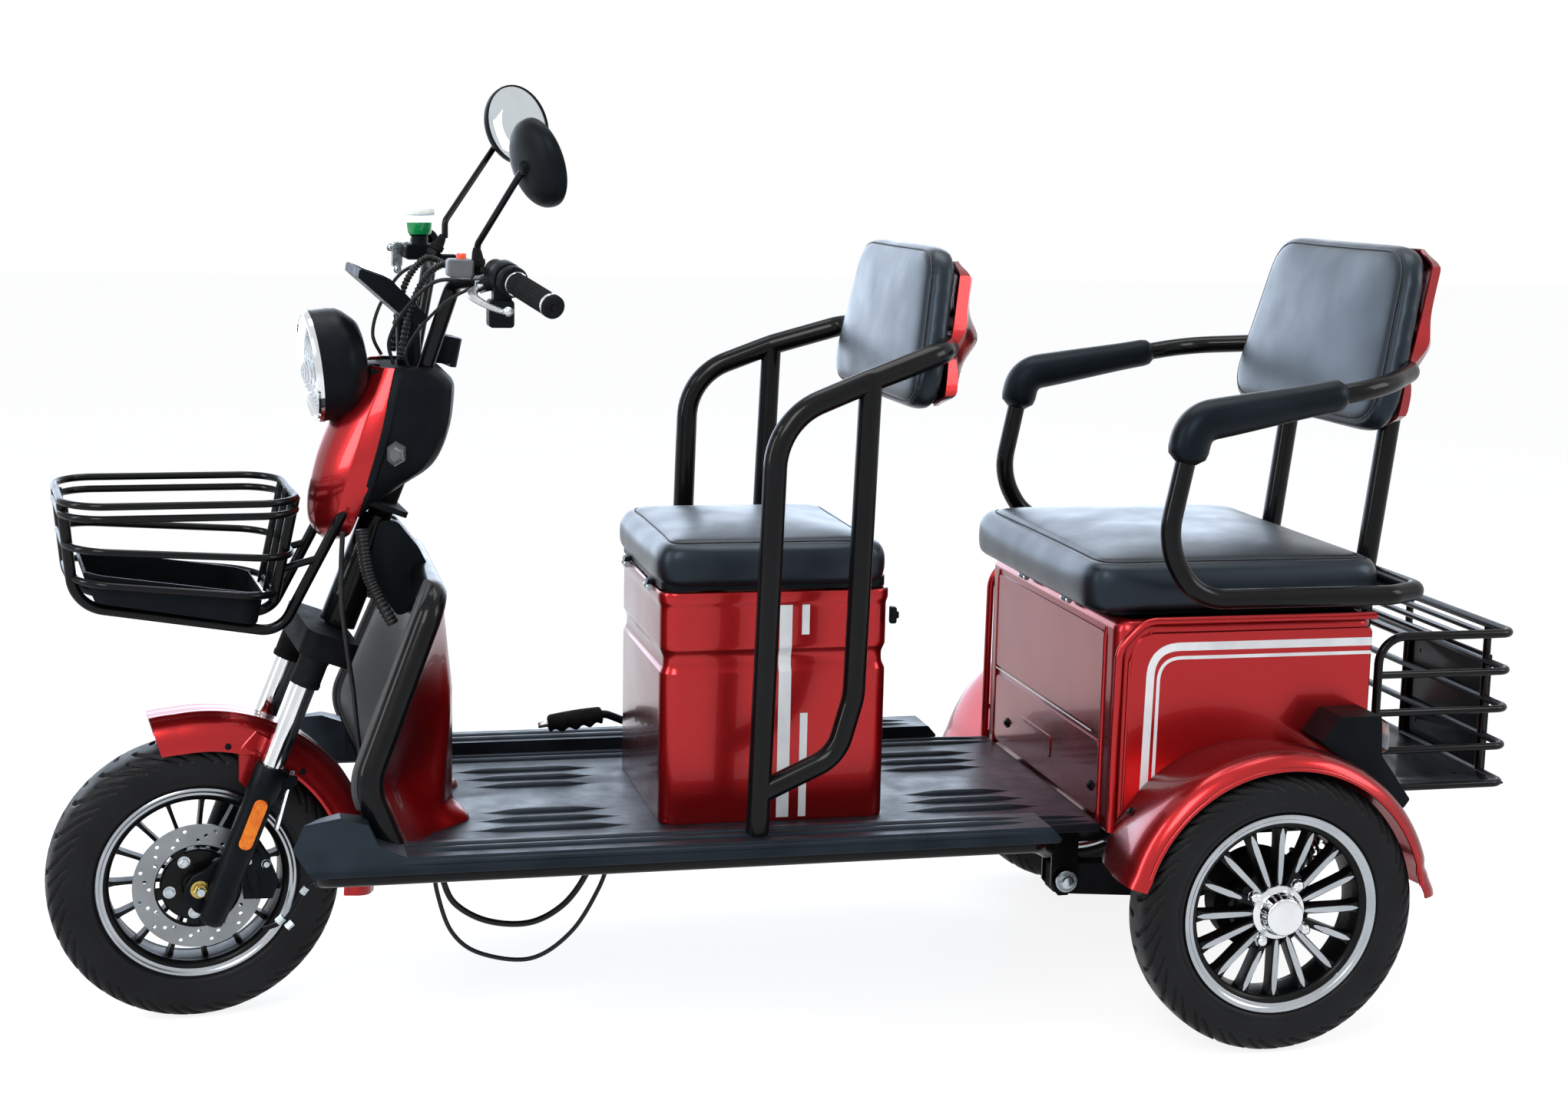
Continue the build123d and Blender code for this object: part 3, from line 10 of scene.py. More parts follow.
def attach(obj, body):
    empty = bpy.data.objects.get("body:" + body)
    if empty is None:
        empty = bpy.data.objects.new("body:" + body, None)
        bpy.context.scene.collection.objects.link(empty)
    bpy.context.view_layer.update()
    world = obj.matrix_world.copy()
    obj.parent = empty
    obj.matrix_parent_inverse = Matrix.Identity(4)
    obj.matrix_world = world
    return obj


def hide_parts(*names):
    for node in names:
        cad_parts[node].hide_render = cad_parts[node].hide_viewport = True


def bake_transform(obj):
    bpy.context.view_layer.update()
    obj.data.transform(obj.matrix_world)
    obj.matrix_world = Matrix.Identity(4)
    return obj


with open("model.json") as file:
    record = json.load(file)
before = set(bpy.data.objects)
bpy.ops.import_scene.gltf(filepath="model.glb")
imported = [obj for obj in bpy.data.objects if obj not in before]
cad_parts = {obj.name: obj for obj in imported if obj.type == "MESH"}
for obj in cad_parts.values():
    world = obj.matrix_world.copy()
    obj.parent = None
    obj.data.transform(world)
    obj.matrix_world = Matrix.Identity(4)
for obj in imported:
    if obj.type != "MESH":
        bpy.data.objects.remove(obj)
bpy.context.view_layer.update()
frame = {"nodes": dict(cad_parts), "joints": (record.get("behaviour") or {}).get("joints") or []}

# ---------------------------------------------------------------- studio
# Pale floor and white surroundings, with large soft lamps high on both sides. The floor keeps the
# vehicle's shadow. The camera stands at the left, a little ahead of the middle.
CAMERA_PLACE = (1413.3, 3318.8, 1223.9)
CAMERA_YAW = 13.533
CAMERA_PITCH = 9.545
CAMERA_ROLL = 1.22
CAMERA_LENS = 54.05
# The vehicle is drawn in its own millimetres: X forward from the rear axle, Y to the left, Z up from the
# ground.
joints = {joint["name"]: joint for joint in frame["joints"]}
rear_axle = Vector(joints["rear_wheel_left_spin"]["pos_m"])
standing = Matrix.Translation((rear_axle.x, 0, 0)) @ Matrix.Scale(0.001, 4)


def linear(colour):
    """sRGB hex to the linear values that a shader takes."""
    values = [int(colour[start:start + 2], 16) / 255 for start in (1, 3, 5)]
    values = [value / 12.92 if value <= 0.04045 else ((value + 0.055) / 1.055) ** 2.4 for value in values]
    return (*values, 1.0)


def add_node(owner, kind, settings=None, links=None):
    """Adds a node to a material or world, with its settings and what its inputs are linked to."""
    tree = owner.node_tree
    node = tree.nodes.new("ShaderNode" + kind)
    for name, value in (settings or {}).items():
        if isinstance(name, int) or name in node.inputs:
            node.inputs[name].default_value = value
        else:
            setattr(node, name, value)
    for name, source in (links or {}).items():
        tree.links.new(source, node.inputs[name])
    return node


def seen_directly(owner):
    """1 where a ray comes from the camera, a mirror-like surface or glass, and 0 for soft light."""
    path = add_node(owner, "LightPath")
    seen = add_node(owner, "Math", {"operation": "MAXIMUM"},
                    {0: path.outputs["Is Camera Ray"], 1: path.outputs["Is Glossy Ray"]})
    return add_node(owner, "Math", {"operation": "MAXIMUM"},
                    {0: seen.outputs[0], 1: path.outputs["Is Transmission Ray"]}).outputs[0]


world = bpy.data.worlds.new("studio")
bpy.context.scene.world = world
world.use_nodes = True
world.node_tree.nodes.clear()
white_round = add_node(world, "Background", {"Color": linear("#FFFFFF"), "Strength": 1.0})
soft_round = add_node(world, "Background", {"Color": linear("#F3F6FA"), "Strength": 0.62})
both_rounds = add_node(world, "MixShader", {}, {0: seen_directly(world), 1: soft_round.outputs[0],
                                                2: white_round.outputs[0]})
add_node(world, "OutputWorld", {}, {"Surface": both_rounds.outputs[0]})

floor_paint = bpy.data.materials.new("matt white studio floor")
floor_paint.use_nodes = True
floor_paint.node_tree.nodes.clear()
floor_coat = add_node(floor_paint, "BsdfDiffuse", {"Color": linear("#EDEEF0")})
floor_glow = add_node(floor_paint, "Emission", {"Color": linear("#FFFFFF"), "Strength": 1.15})
floor_seen = add_node(floor_paint, "MixShader", {0: 0.74},
                      {1: floor_coat.outputs[0], 2: floor_glow.outputs[0]})
floor_mix = add_node(floor_paint, "MixShader", {}, {0: seen_directly(floor_paint), 1: floor_coat.outputs[0],
                                                    2: floor_seen.outputs[0]})
add_node(floor_paint, "OutputMaterial", {}, {"Surface": floor_mix.outputs[0]})
bpy.ops.mesh.primitive_grid_add(x_subdivisions=4, y_subdivisions=4, size=40, location=(0, 0, -0.001))
studio_floor = bpy.context.object
studio_floor.name = "studio_floor"
studio_floor.data.materials.append(floor_paint)


def soft_lamp(name, place, aim, width, height, power, tint="#FFFFFF"):
    lamp = bpy.data.lights.new(name, "AREA")
    lamp.shape = "RECTANGLE"
    lamp.size, lamp.size_y, lamp.energy = width, height, power
    lamp.color = linear(tint)[:3]
    holder = bpy.data.objects.new(name, lamp)
    holder.location = place
    holder.rotation_euler = (Vector(aim) - Vector(place)).to_track_quat("-Z", "Y").to_euler()
    holder.visible_camera = False
    bpy.context.scene.collection.objects.link(holder)


soft_lamp("key_softbox", (1.9, 3.4, 3.4), (0.1, 0, 0.5), 1.6, 2.4, 115)
soft_lamp("front_strip", (3.6, 0.9, 2.0), (0.6, 0, 0.6), 0.7, 2.6, 60)
soft_lamp("top_softbox", (-0.3, -0.4, 4.0), (0, 0, 0.4), 3.0, 1.6, 70)
soft_lamp("rear_softbox", (-3.2, 1.6, 2.2), (0, 0, 0.6), 1.4, 1.6, 45)
soft_lamp("far_softbox", (0.4, -3.6, 1.5), (0.2, 0, 0.75), 6.0, 2.3, 150, "#D6E8FF")

camera = bpy.data.cameras.new("camera")
camera.lens = CAMERA_LENS
camera.sensor_width = 36
viewer = bpy.data.objects.new("camera", camera)
yaw, pitch, roll = (math.radians(angle) for angle in (CAMERA_YAW, CAMERA_PITCH, CAMERA_ROLL))
sight = Vector((-math.sin(yaw) * math.cos(pitch), -math.cos(yaw) * math.cos(pitch), -math.sin(pitch)))
level_right = sight.cross(Vector((0, 0, 1))).normalized()
level_up = level_right.cross(sight)
view_right = level_right * math.cos(roll) + level_up * math.sin(roll)
view_up = level_up * math.cos(roll) - level_right * math.sin(roll)
viewer.matrix_world = (Matrix.Translation(standing @ Vector(CAMERA_PLACE))
                       @ Matrix((view_right, view_up, -sight)).transposed().to_4x4())
bpy.context.scene.collection.objects.link(viewer)
bpy.context.scene.camera = viewer
bpy.context.scene.view_settings.view_transform = "Standard"

# ---------------------------------------------------------------- welded tubes
# Chassis, leg shield hoop, seat hoops, seat rail and racks are mild steel tube, bent cold and welded, then
# powder coated gloss black: a slight orange peel breaks the edges of the highlights.


def new_material(name, settings):
    """A material that starts from one principled shader with these settings."""
    material = bpy.data.materials.new(name)
    material.use_nodes = True
    shader = material.node_tree.nodes["Principled BSDF"]
    for socket, value in settings.items():
        shader.inputs[socket].default_value = value
    return material


def join_shader(material, socket, source):
    material.node_tree.links.new(source, material.node_tree.nodes["Principled BSDF"].inputs[socket])


def patches(material, size_mm, detail=4.0):
    """Soft noise whose spots are about this size."""
    place = add_node(material, "TexCoord").outputs["Object"]
    return add_node(material, "TexNoise", {"Scale": 1000 / size_mm, "Detail": detail}, {"Vector": place})


def grain(material, size_mm, depth_mm, detail=2.0):
    """Fine relief over the whole surface, from the size and depth of its bumps."""
    bump = add_node(material, "Bump", {"Strength": 1.0, "Distance": depth_mm / 1000},
                    {"Height": patches(material, size_mm, detail).outputs["Fac"]})
    join_shader(material, "Normal", bump.outputs["Normal"])


def vary(material, socket, size_mm, low, high):
    """Lets a shader value wander between two limits, in patches of a real size."""
    spread = add_node(material, "MapRange",
                      {"From Min": 0.3, "From Max": 0.7, "To Min": low, "To Max": high},
                      {"Value": patches(material, size_mm).outputs["Fac"]})
    join_shader(material, socket, spread.outputs["Result"])


def mottle(material, size_mm, first, second):
    """Lets the base colour wander between two near colours."""
    colours = add_node(material, "ValToRGB", {}, {"Fac": patches(material, size_mm, 5.0).outputs["Fac"]})
    for stop, place, colour in zip(colours.color_ramp.elements, (0.35, 0.65), (first, second)):
        stop.position, stop.color = place, linear(colour)
    join_shader(material, "Base Color", colours.outputs["Color"])


def dress(material, *nodes):
    """Gives CAD pieces their finish."""
    for node in nodes:
        mesh = frame["nodes"][node].data
        mesh.materials.clear()
        mesh.materials.append(material)


def new_shape():
    return bmesh.new()


def add(shape, points, faces, at=Matrix(), finish=0):
    """Adds points and faces to a shape, moved by a matrix, with the number of their material."""
    made = [shape.verts.new(at @ Vector(point)) for point in points]
    for corners in faces:
        shape.faces.new([made[corner] for corner in corners]).material_index = finish


def fit(name, shape, materials, body, stands_for=(), at=standing, crease=32):
    """Puts a finished shape, drawn in millimetres, on the vehicle as a piece of its own."""
    if isinstance(shape, bmesh.types.BMesh):
        bmesh.ops.remove_doubles(shape, verts=shape.verts, dist=0.01)
        bmesh.ops.dissolve_degenerate(shape, edges=shape.edges, dist=0.005)
        bmesh.ops.recalc_face_normals(shape, faces=shape.faces)
        mesh = bpy.data.meshes.new(name)
        shape.to_mesh(mesh)
        shape.free()
    else:
        mesh = shape
    mesh.name = name
    mesh.transform(at)
    finishes = [face.material_index for face in mesh.polygons]
    mesh.materials.clear()
    for material in materials if isinstance(materials, (list, tuple)) else [materials]:
        mesh.materials.append(material)
    mesh.polygons.foreach_set("material_index", finishes)
    mesh.shade_smooth()
    mesh.set_sharp_from_angle(angle=math.radians(crease))
    piece = bpy.data.objects.new(name, mesh)
    bpy.context.scene.collection.objects.link(piece)
    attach(piece, body)
    if stands_for:
        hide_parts(*stands_for)
    return piece


powder_coat = new_material("gloss black powder coated steel",
                           {"Coat Weight": 0.22, "Coat Roughness": 0.08, "Specular IOR Level": 0.06})
mottle(powder_coat, 60, "#030405", "#060709")
vary(powder_coat, "Roughness", 40, 0.3, 0.42)
grain(powder_coat, 2.2, 0.03)
dress(powder_coat, "chassis_frame", "shield_hoop", "middle_seat_frame", "seat_rail", "basket_frame",
      "handlebar")
# Castings and welded steel under the body carry thin matt chassis paint, so they only just show their shape.
chassis_paint = new_material("matt black chassis paint", {"Specular IOR Level": 0.08})
mottle(chassis_paint, 40, "#07080A", "#0E0F11")
vary(chassis_paint, "Roughness", 25, 0.66, 0.8)
grain(chassis_paint, 1.2, 0.06)
dress(chassis_paint, "swing_arm", "rear_axle", "steering_stem", "battery_block")

# ---------------------------------------------------------------- tyres
# Three tubeless scooter tyres, 16 x 3.0. Carbon black rubber, moulded with curved grooves that run from the
# middle of the tread out over the shoulders.
TYRE_OUTER = 202.0
GROOVE_DEPTH, GROOVE_HALF = 5.2, 3.4
GROOVES_ROUND = 24
TREAD_STEPS = 672


def flowing(points, per_span, closed=False):
    """Smooth line through some points, with this many steps from each point to the next."""
    count = len(points)
    line = []
    for index in range(count if closed else count - 1):
        near = [points[(index + shift) % count] if closed else points[min(max(index + shift, 0), count - 1)]
                for shift in (-1, 0, 1, 2)]
        for step in range(per_span):
            t = step / per_span
            weights = ((-t + 2 * t * t - t ** 3) / 2, (2 - 5 * t * t + 3 * t ** 3) / 2,
                       (t + 4 * t * t - 3 * t ** 3) / 2, (t ** 3 - t * t) / 2)
            line.append(tuple(sum(w * p[axis] for w,
                                  p in zip(weights, near)) for axis in range(len(points[0]))))
    if not closed:
        line.append(tuple(points[-1]))
    return line


def tread_depth(angle, share, side):
    """How deep the tread is cut at an angle, with share 0 at the middle and 1 at the end of the shoulder."""
    pitch = 2 * math.pi / GROOVES_ROUND
    if share > 1.0:
        return 0.0
    reach = 0.30 * share ** 1.5 - 0.05 * math.sin(share * math.pi)
    slope = 0.45 * share ** 0.5
    long_cut = (angle - reach - (pitch / 2 if side > 0 else 0)) % pitch
    long_gap = min(long_cut, pitch - long_cut) * TYRE_OUTER / math.hypot(1, slope)
    depth = 0.0
    if 0.10 < share < 0.97:
        depth = max(depth, 1 - (long_gap / GROOVE_HALF) ** 2)
    short_cut = (angle - reach * 0.8 - pitch * (0.5 if side < 0 else 0.0) - 0.015) % pitch
    short_gap = min(short_cut, pitch - short_cut) * TYRE_OUTER / math.hypot(1, slope)
    if 0.45 < share < 1.0:
        depth = max(depth, 0.75 * (1 - (short_gap / (GROOVE_HALF * 0.8)) ** 2))
    return GROOVE_DEPTH * min(max(depth, 0.0) * 1.6, 1.0)


def tyre_mesh(name, lip):
    shoulder = [(lip - 4, 32.0), (lip + 1.5, 33.5), (lip + 3.5, 37.0), (lip + 9, 39.0), (lip + 10, 38.4),
                (lip + 16, 41.0), (167.0, 42.0), (176.0, 42.0), (184.0, 41.0), (190.0, 38.5), (195.5, 34.0),
                (199.3, 27.0), (201.3, 18.0), (201.9, 9.0), (202.0, 0.0)]
    half = flowing(shoulder, 2)[:8] + flowing(shoulder[4:], 3)[2:]
    section = [(radius, y, 1) for radius, y in half] + [(radius, -y, -1) for radius, y in half[-2::-1]]
    tread_start = next(index for index, (radius, _) in enumerate(half) if radius > 178)
    run = [0.0] * len(half)
    for index in range(len(half) - 2, -1, -1):
        run[index] = run[index + 1] + math.hypot(half[index][0] - half[index + 1][0],
                                                 half[index][1] - half[index + 1][1])
    shares = [value / run[tread_start] for value in run]
    shares = shares + shares[-2::-1]
    points, faces = [], []
    for step in range(TREAD_STEPS):
        angle = 2 * math.pi * step / TREAD_STEPS
        cosine, sine = math.cos(angle), math.sin(angle)
        for (radius, y, side), share in zip(section, shares):
            sunk = tread_depth(angle, share, side)
            radius -= sunk * (1 - 0.6 * min(share, 1.0))
            y -= side * sunk * 0.7 * min(share, 1.0)
            points.append((radius * cosine, y, radius * sine))
    count = len(section)
    for step in range(TREAD_STEPS):
        here, there = step * count, (step + 1) % TREAD_STEPS * count
        faces += [(here + i, here + i + 1, there + i + 1, there + i) for i in range(count - 1)]
    mesh = bpy.data.meshes.new(name)
    mesh.from_pydata(points, [], faces)
    return mesh


# The fork and its wheel are drawn straight ahead, then turned to where the steering rests.
front_axle = Vector(joints["front_wheel_spin"]["pos_m"])
steer_pivot = Vector(joints["steering_turn"]["pos_m"])
steer_axis = Vector(joints["steering_turn"]["axis"])
wheel_axis = Vector(joints["front_wheel_spin"]["axis"])
across = Vector((0, 1, 0))
rest_steer = math.atan2(across.cross(wheel_axis).dot(steer_axis), across.dot(wheel_axis))
turned = (Matrix.Translation(steer_pivot) @ Matrix.Rotation(rest_steer, 4, steer_axis)
          @ Matrix.Translation(-steer_pivot) @ standing)
straight_axle = turned.inverted() @ front_axle
at_front_axle = turned @ Matrix.Translation(straight_axle)
UPRIGHT, SIDEWAYS = (Matrix.Rotation(math.radians(90), 4, axis) for axis in "XZ")
at_left_axle = standing @ Matrix.Translation(standing.inverted() @ rear_axle)
at_right_axle = at_left_axle @ Matrix.Translation((0, -2 * (standing.inverted() @ rear_axle).y, 0)) \
    @ Matrix.Scale(-1, 4, (0, 1, 0))
tyre_rubber = new_material("black vulcanised tyre rubber", {"Specular IOR Level": 0.16})
mottle(tyre_rubber, 90, "#090A0C", "#111214")
vary(tyre_rubber, "Roughness", 30, 0.42, 0.56)
grain(tyre_rubber, 1.6, 0.05)
fit("front_tyre_treaded", tyre_mesh("front_tyre", 139.0), tyre_rubber, "front_wheel",
    ["front_tyre"], at_front_axle, 180)
for side, place in (("left", at_left_axle), ("right", at_right_axle)):
    mesh = tyre_mesh("rear_tyre", 143.0)
    if side == "right":
        mesh.flip_normals()
    fit(f"rear_tyre_{side}_treaded", mesh, tyre_rubber, f"rear_wheel_{side}", [f"rear_tyre_{side}"],
        place, 180)

# ---------------------------------------------------------------- rear rims
# Cast aluminium rims: painted gloss black, then turned on a lathe so the lips and the faces of the sixteen
# spokes are bare bright metal. Chrome plated domed nuts and a pressed hub cap close the middle.


def lathe(shape, profile, at=Matrix(), finish=0, steps=96, closed=False):
    """Turns a profile of (radius, y) about the Y axis."""
    count = len(profile)
    points, faces = [], []
    for step in range(steps):
        angle = 2 * math.pi * step / steps
        points += [(radius * math.cos(angle), y, radius * math.sin(angle)) for radius, y in profile]
        here, there = step * count, (step + 1) % steps * count
        faces += [(here + i, here + (i + 1) % count, there + (i + 1) % count, there + i)
                  for i in range(count if closed else count - 1)]
    add(shape, points, faces, at, finish)


def slab(shape, outline, low, high, at=Matrix(), finish=0, edge=0.0, top_in=0.0):
    """Flat piece between two heights along Y, from an (x, z) outline, with its far edge chamfered."""
    count = len(outline)
    levels = [(low, 0.0), (high, 0.0)]
    if edge or top_in:
        levels = [(low, 0.0), (high - edge, 0.0), (high, max(edge, top_in))]
    middle = (sum(x for x, _ in outline) / count, sum(z for _, z in outline) / count)
    points = []
    for y, inset in levels:
        for x, z in outline:
            away = math.hypot(x - middle[0], z - middle[1]) or 1.0
            points.append((x - (x - middle[0]) / away * inset, y, z - (z - middle[1]) / away * inset))
    faces = [tuple(range(count))[::-1], tuple(range((len(levels) - 1) * count, len(levels) * count))]
    for level in range(len(levels) - 1):
        base = level * count
        faces += [(base + i, base + (i + 1) % count, base + count + (i + 1) % count, base + count + i)
                  for i in range(count)]
    add(shape, points, faces, at, finish)


def wheel_turn(degrees):
    return Matrix.Rotation(math.radians(degrees), 4, "Y")


def mirrored(profile):
    return [(radius, -y) for radius, y in reversed(profile)]


def spoke_outline(stations):
    """Outline of a spoke from (radius, half width) pairs."""
    return [(radius, half) for radius, half in stations] + [(radius, -half) for radius,
                                                            half in reversed(stations)]


rim_black = new_material("gloss black painted cast aluminium",
                         {"Coat Weight": 0.12, "Coat Roughness": 0.12, "Specular IOR Level": 0.08})
mottle(rim_black, 30, "#040506", "#08090A")
vary(rim_black, "Roughness", 15, 0.4, 0.5)
grain(rim_black, 1.5, 0.02)
turned_metal = new_material("lathe-turned aluminium", {"Metallic": 1.0})
mottle(turned_metal, 60, "#9DA3A8", "#AEB3B8")
vary(turned_metal, "Roughness", 40, 0.16, 0.24)
chrome = new_material("bright chrome plate on steel", {"Metallic": 1.0})
mottle(chrome, 40, "#D2D5D8", "#DCDFE1")
vary(chrome, "Roughness", 25, 0.05, 0.1)
LIP_PROFILE = [(129.6, 31.6), (130, 33.2), (131.2, 34), (133.5, 33.9), (135.5, 35.2), (137.5, 37.2),
               (140, 37.6), (142.3, 36.6), (143, 34.2), (142.5, 31.5), (140, 30), (131, 29)]
BARREL_EDGE = [(121, 20), (121, 24), (122, 27), (125, 30), (129.7, 31.8), (131, 29), (127, 22)]
REAR_BARREL = [(121, 22), (131, 30), (131, -30), (121, -22), (119, -12), (119, 12)]
HUB_PROFILE = [(13, -26), (57, -26), (58, -24), (58, 4), (55, 8), (42, 9), (40, 12), (39, 25), (36, 27.5),
               (13, 28)]
CAP_PROFILE = [(39, 25.5), (38, 27.5), (34.5, 29), (31, 30.5), (29.2, 33), (28.4, 38), (27.4, 47),
               (26.4, 50.2), (24.6, 51.6), (21, 52), (0, 52)]
NUT_CIRCLE, NUT_COUNT, SPOKE_COUNT = 46.0, 4, 16


def acorn_nut(shape, at, finish, hexagon=9.5, height=19.0):
    """Hexagon with a domed top, standing along Y."""
    slab(shape, [(hexagon * math.cos(math.radians(60 * i)), hexagon * math.sin(math.radians(60 * i)))
                 for i in range(6)], 0, height * 0.42, at, finish, 0.7)
    lathe(shape, [(hexagon * 0.86, height * 0.4), (hexagon * 0.84, height * 0.62),
                  (hexagon * 0.72, height * 0.82),
                  (hexagon * 0.42, height * 0.96), (0, height)], at, finish, 32)


def rear_rim_shape():
    rim = new_shape()
    for profile, finish in ((LIP_PROFILE, 1), (BARREL_EDGE, 0)):
        lathe(rim, profile, finish=finish, steps=160, closed=True)
        lathe(rim, mirrored(profile), finish=finish, steps=160, closed=True)
    lathe(rim, REAR_BARREL, steps=128, closed=True)
    lathe(rim, HUB_PROFILE, steps=72)
    body = spoke_outline([(34, 5.0), (60, 5.4), (96, 5.4), (112, 6.0), (121.5, 8.5)])
    for number in range(SPOKE_COUNT):
        turn = wheel_turn(number * 360 / SPOKE_COUNT)
        past_nut = (number * 360 / SPOKE_COUNT - 57) % 90
        by_nut = past_nut < 12 or past_nut > 82
        start = 60 if by_nut else 39
        face = spoke_outline([(start, 0.8), (start + 3, 2.4), (start + 14, 3.4), (78, 4.3), (98, 4.3),
                              (112, 3.4), (120, 1.2), (121, 0.5)])
        slab(rim, body, 4, 25.4, turn, 0, 1.4)
        slab(rim, face, 25, 26.6, turn, 1, 0.5)
    for number in range(NUT_COUNT):
        turn = wheel_turn(57 + number * 360 / NUT_COUNT) @ Matrix.Translation((NUT_CIRCLE, 0, 0))
        lathe(rim, [(15, 2), (14.6, 19), (13.4, 20.4), (9, 20.6), (0, 20.6)], turn, 0, 40)
        acorn_nut(rim, turn @ Matrix.Translation((0, 20.4, 0)), 2)
    lathe(rim, CAP_PROFILE, finish=2, steps=72)
    valve = wheel_turn(26) @ Matrix.Translation((119, 10, 0)) @ SIDEWAYS
    lathe(rim, [(5.5, 0), (4.5, 6), (4, 22), (3, 24), (3, 28), (0, 28)], valve, 3, 20)
    return rim


tyre_valve = new_material("black moulded rubber", {"Roughness": 0.5})
mottle(tyre_valve, 8, "#131415", "#1B1C1E")
for side, place in (("left", at_left_axle), ("right", at_right_axle)):
    fit(f"rear_rim_{side}_cast", rear_rim_shape(), [rim_black, turned_metal, chrome, tyre_valve],
        f"rear_wheel_{side}", [f"rear_rim_{side}"], place, 38)

# ---------------------------------------------------------------- front rim, disc and axle
# The front rim is the same casting with fifteen thin black spokes and a narrow turned lip. A drilled steel
# brake disc is bolted to its black carrier with zinc plated screws, outside the left end of the hub.
FRONT_LIP = [(127.6, 31.2), (128, 32.6), (129.2, 33.3), (131, 33.2), (133, 34.4), (135, 36.2),
             (137.2, 36.6), (138.7, 35.4), (139, 33), (137, 30), (130, 28.5)]
FRONT_BARREL = [(121, 24), (130, 30), (130, -30), (121, -24), (118.5, -14), (118.5, 14)]
FRONT_HUB = [(8, -32), (33, -32), (34, -30), (34, -12), (30, -8), (30, 10), (36, 16), (52, 34), (52, 40),
             (50, 42.5), (30, 42.8), (22, 41), (18, 42), (17, 47), (8, 47)]
DISC_LOW, DISC_HIGH = 43.2, 46.8
FRONT_SPOKES, CARRIER_ARMS = 15, 5


def ring_points(radius, count, start=0.0):
    return [(radius * math.cos(start + 2 * math.pi * i / count),
             radius * math.sin(start + 2 * math.pi * i / count))
            for i in range(count)]


def pierced_plate(loops, thickness):
    """Flat plate from outlines, in which the inner ones are holes, standing along Y from zero."""
    curve = bpy.data.curves.new("plate", "CURVE")
    curve.dimensions, curve.fill_mode, curve.extrude = "2D", "BOTH", thickness / 2
    for loop in loops:
        spline = curve.splines.new("POLY")
        spline.points.add(len(loop) - 1)
        for point, (x, z) in zip(spline.points, loop):
            point.co = (x, z, 0, 1)
        spline.use_cyclic_u = True
    return mesh_of(curve, Matrix.Translation((0, thickness / 2, 0)) @ UPRIGHT)


def mesh_of(curve, at=Matrix()):
    """The mesh that Blender makes of a curve."""
    holder = bpy.data.objects.new("curve", curve)
    bpy.context.scene.collection.objects.link(holder)
    bpy.context.view_layer.update()
    mesh = bpy.data.meshes.new_from_object(holder.evaluated_get(bpy.context.evaluated_depsgraph_get()))
    bpy.data.objects.remove(holder)
    bpy.data.curves.remove(curve)
    mesh.transform(at)
    return mesh


def hexagon(radius):
    return ring_points(radius, 6)


def bolt(shape, at, finish, radius=6.0, height=5.0):
    """Hexagon head on a washer, standing along Y."""
    lathe(shape, [(radius * 1.35, 0), (radius * 1.35, 1.0), (radius * 1.2, 1.3), (0, 1.3)], at, finish, 28)
    slab(shape, hexagon(radius), 1.2, height, at, finish, 0.6)


front_rim = new_shape()
for profile, finish in ((FRONT_LIP, 1), ([(radius - 2, y) for radius, y in BARREL_EDGE], 0)):
    lathe(front_rim, profile, finish=finish, steps=160, closed=True)
    lathe(front_rim, mirrored(profile), finish=finish, steps=160, closed=True)
lathe(front_rim, FRONT_BARREL, steps=128, closed=True)
lathe(front_rim, FRONT_HUB, steps=72)
for number in range(FRONT_SPOKES):
    slab(front_rim, spoke_outline([(28, 4.0), (48, 2.9), (96, 2.7), (112, 3.2), (120, 4.6)]), -9, 9,
         wheel_turn(number * 360 / FRONT_SPOKES), 0, 1.2)
for number in range(CARRIER_ARMS):
    turn = wheel_turn(10 + number * 360 / CARRIER_ARMS)
    slab(front_rim, spoke_outline([(20, 9), (42, 7), (58, 9), (63, 10)]), 38, 43, turn, 0, 1.0)
    bolt(front_rim, turn @ Matrix.Translation((40, 43, 0)), 2, 6.5, 6)
lathe(front_rim, [(58, 38), (63.5, 38), (63.5, 43), (58, 43)], finish=0, closed=True)
zinc = new_material("clear zinc plated steel", {"Metallic": 1.0})
mottle(zinc, 6, "#9FA8AE", "#BAC3C8")
vary(zinc, "Roughness", 5, 0.22, 0.36)
fit("front_rim_cast", front_rim, [rim_black, turned_metal, zinc], "front_wheel",
    ["front_rim"], at_front_axle, 38)

disc_loops = [ring_points(90, 144), ring_points(60.5, 96)]
for number in range(12):
    for radius, shift in ((67, 0), (74, 9), (82, 18)):
        angle = math.radians(number * 30 + shift)
        disc_loops.append([(radius * math.cos(angle) + x, radius * math.sin(angle) + z)
                           for x, z in ring_points(2.9, 14)])
ground_steel = new_material("ground stainless brake disc", {"Metallic": 1.0, "Anisotropic": 0.5})
mottle(ground_steel, 60, "#7C8084", "#888C90")
vary(ground_steel, "Roughness", 40, 0.34, 0.42)
disc = pierced_plate(disc_loops, DISC_HIGH - DISC_LOW)
disc.transform(Matrix.Translation((0, DISC_LOW, 0)))
fit("front_disc_drilled", disc, ground_steel, "front_wheel", ["front_brake_disc"],
    at_front_axle)

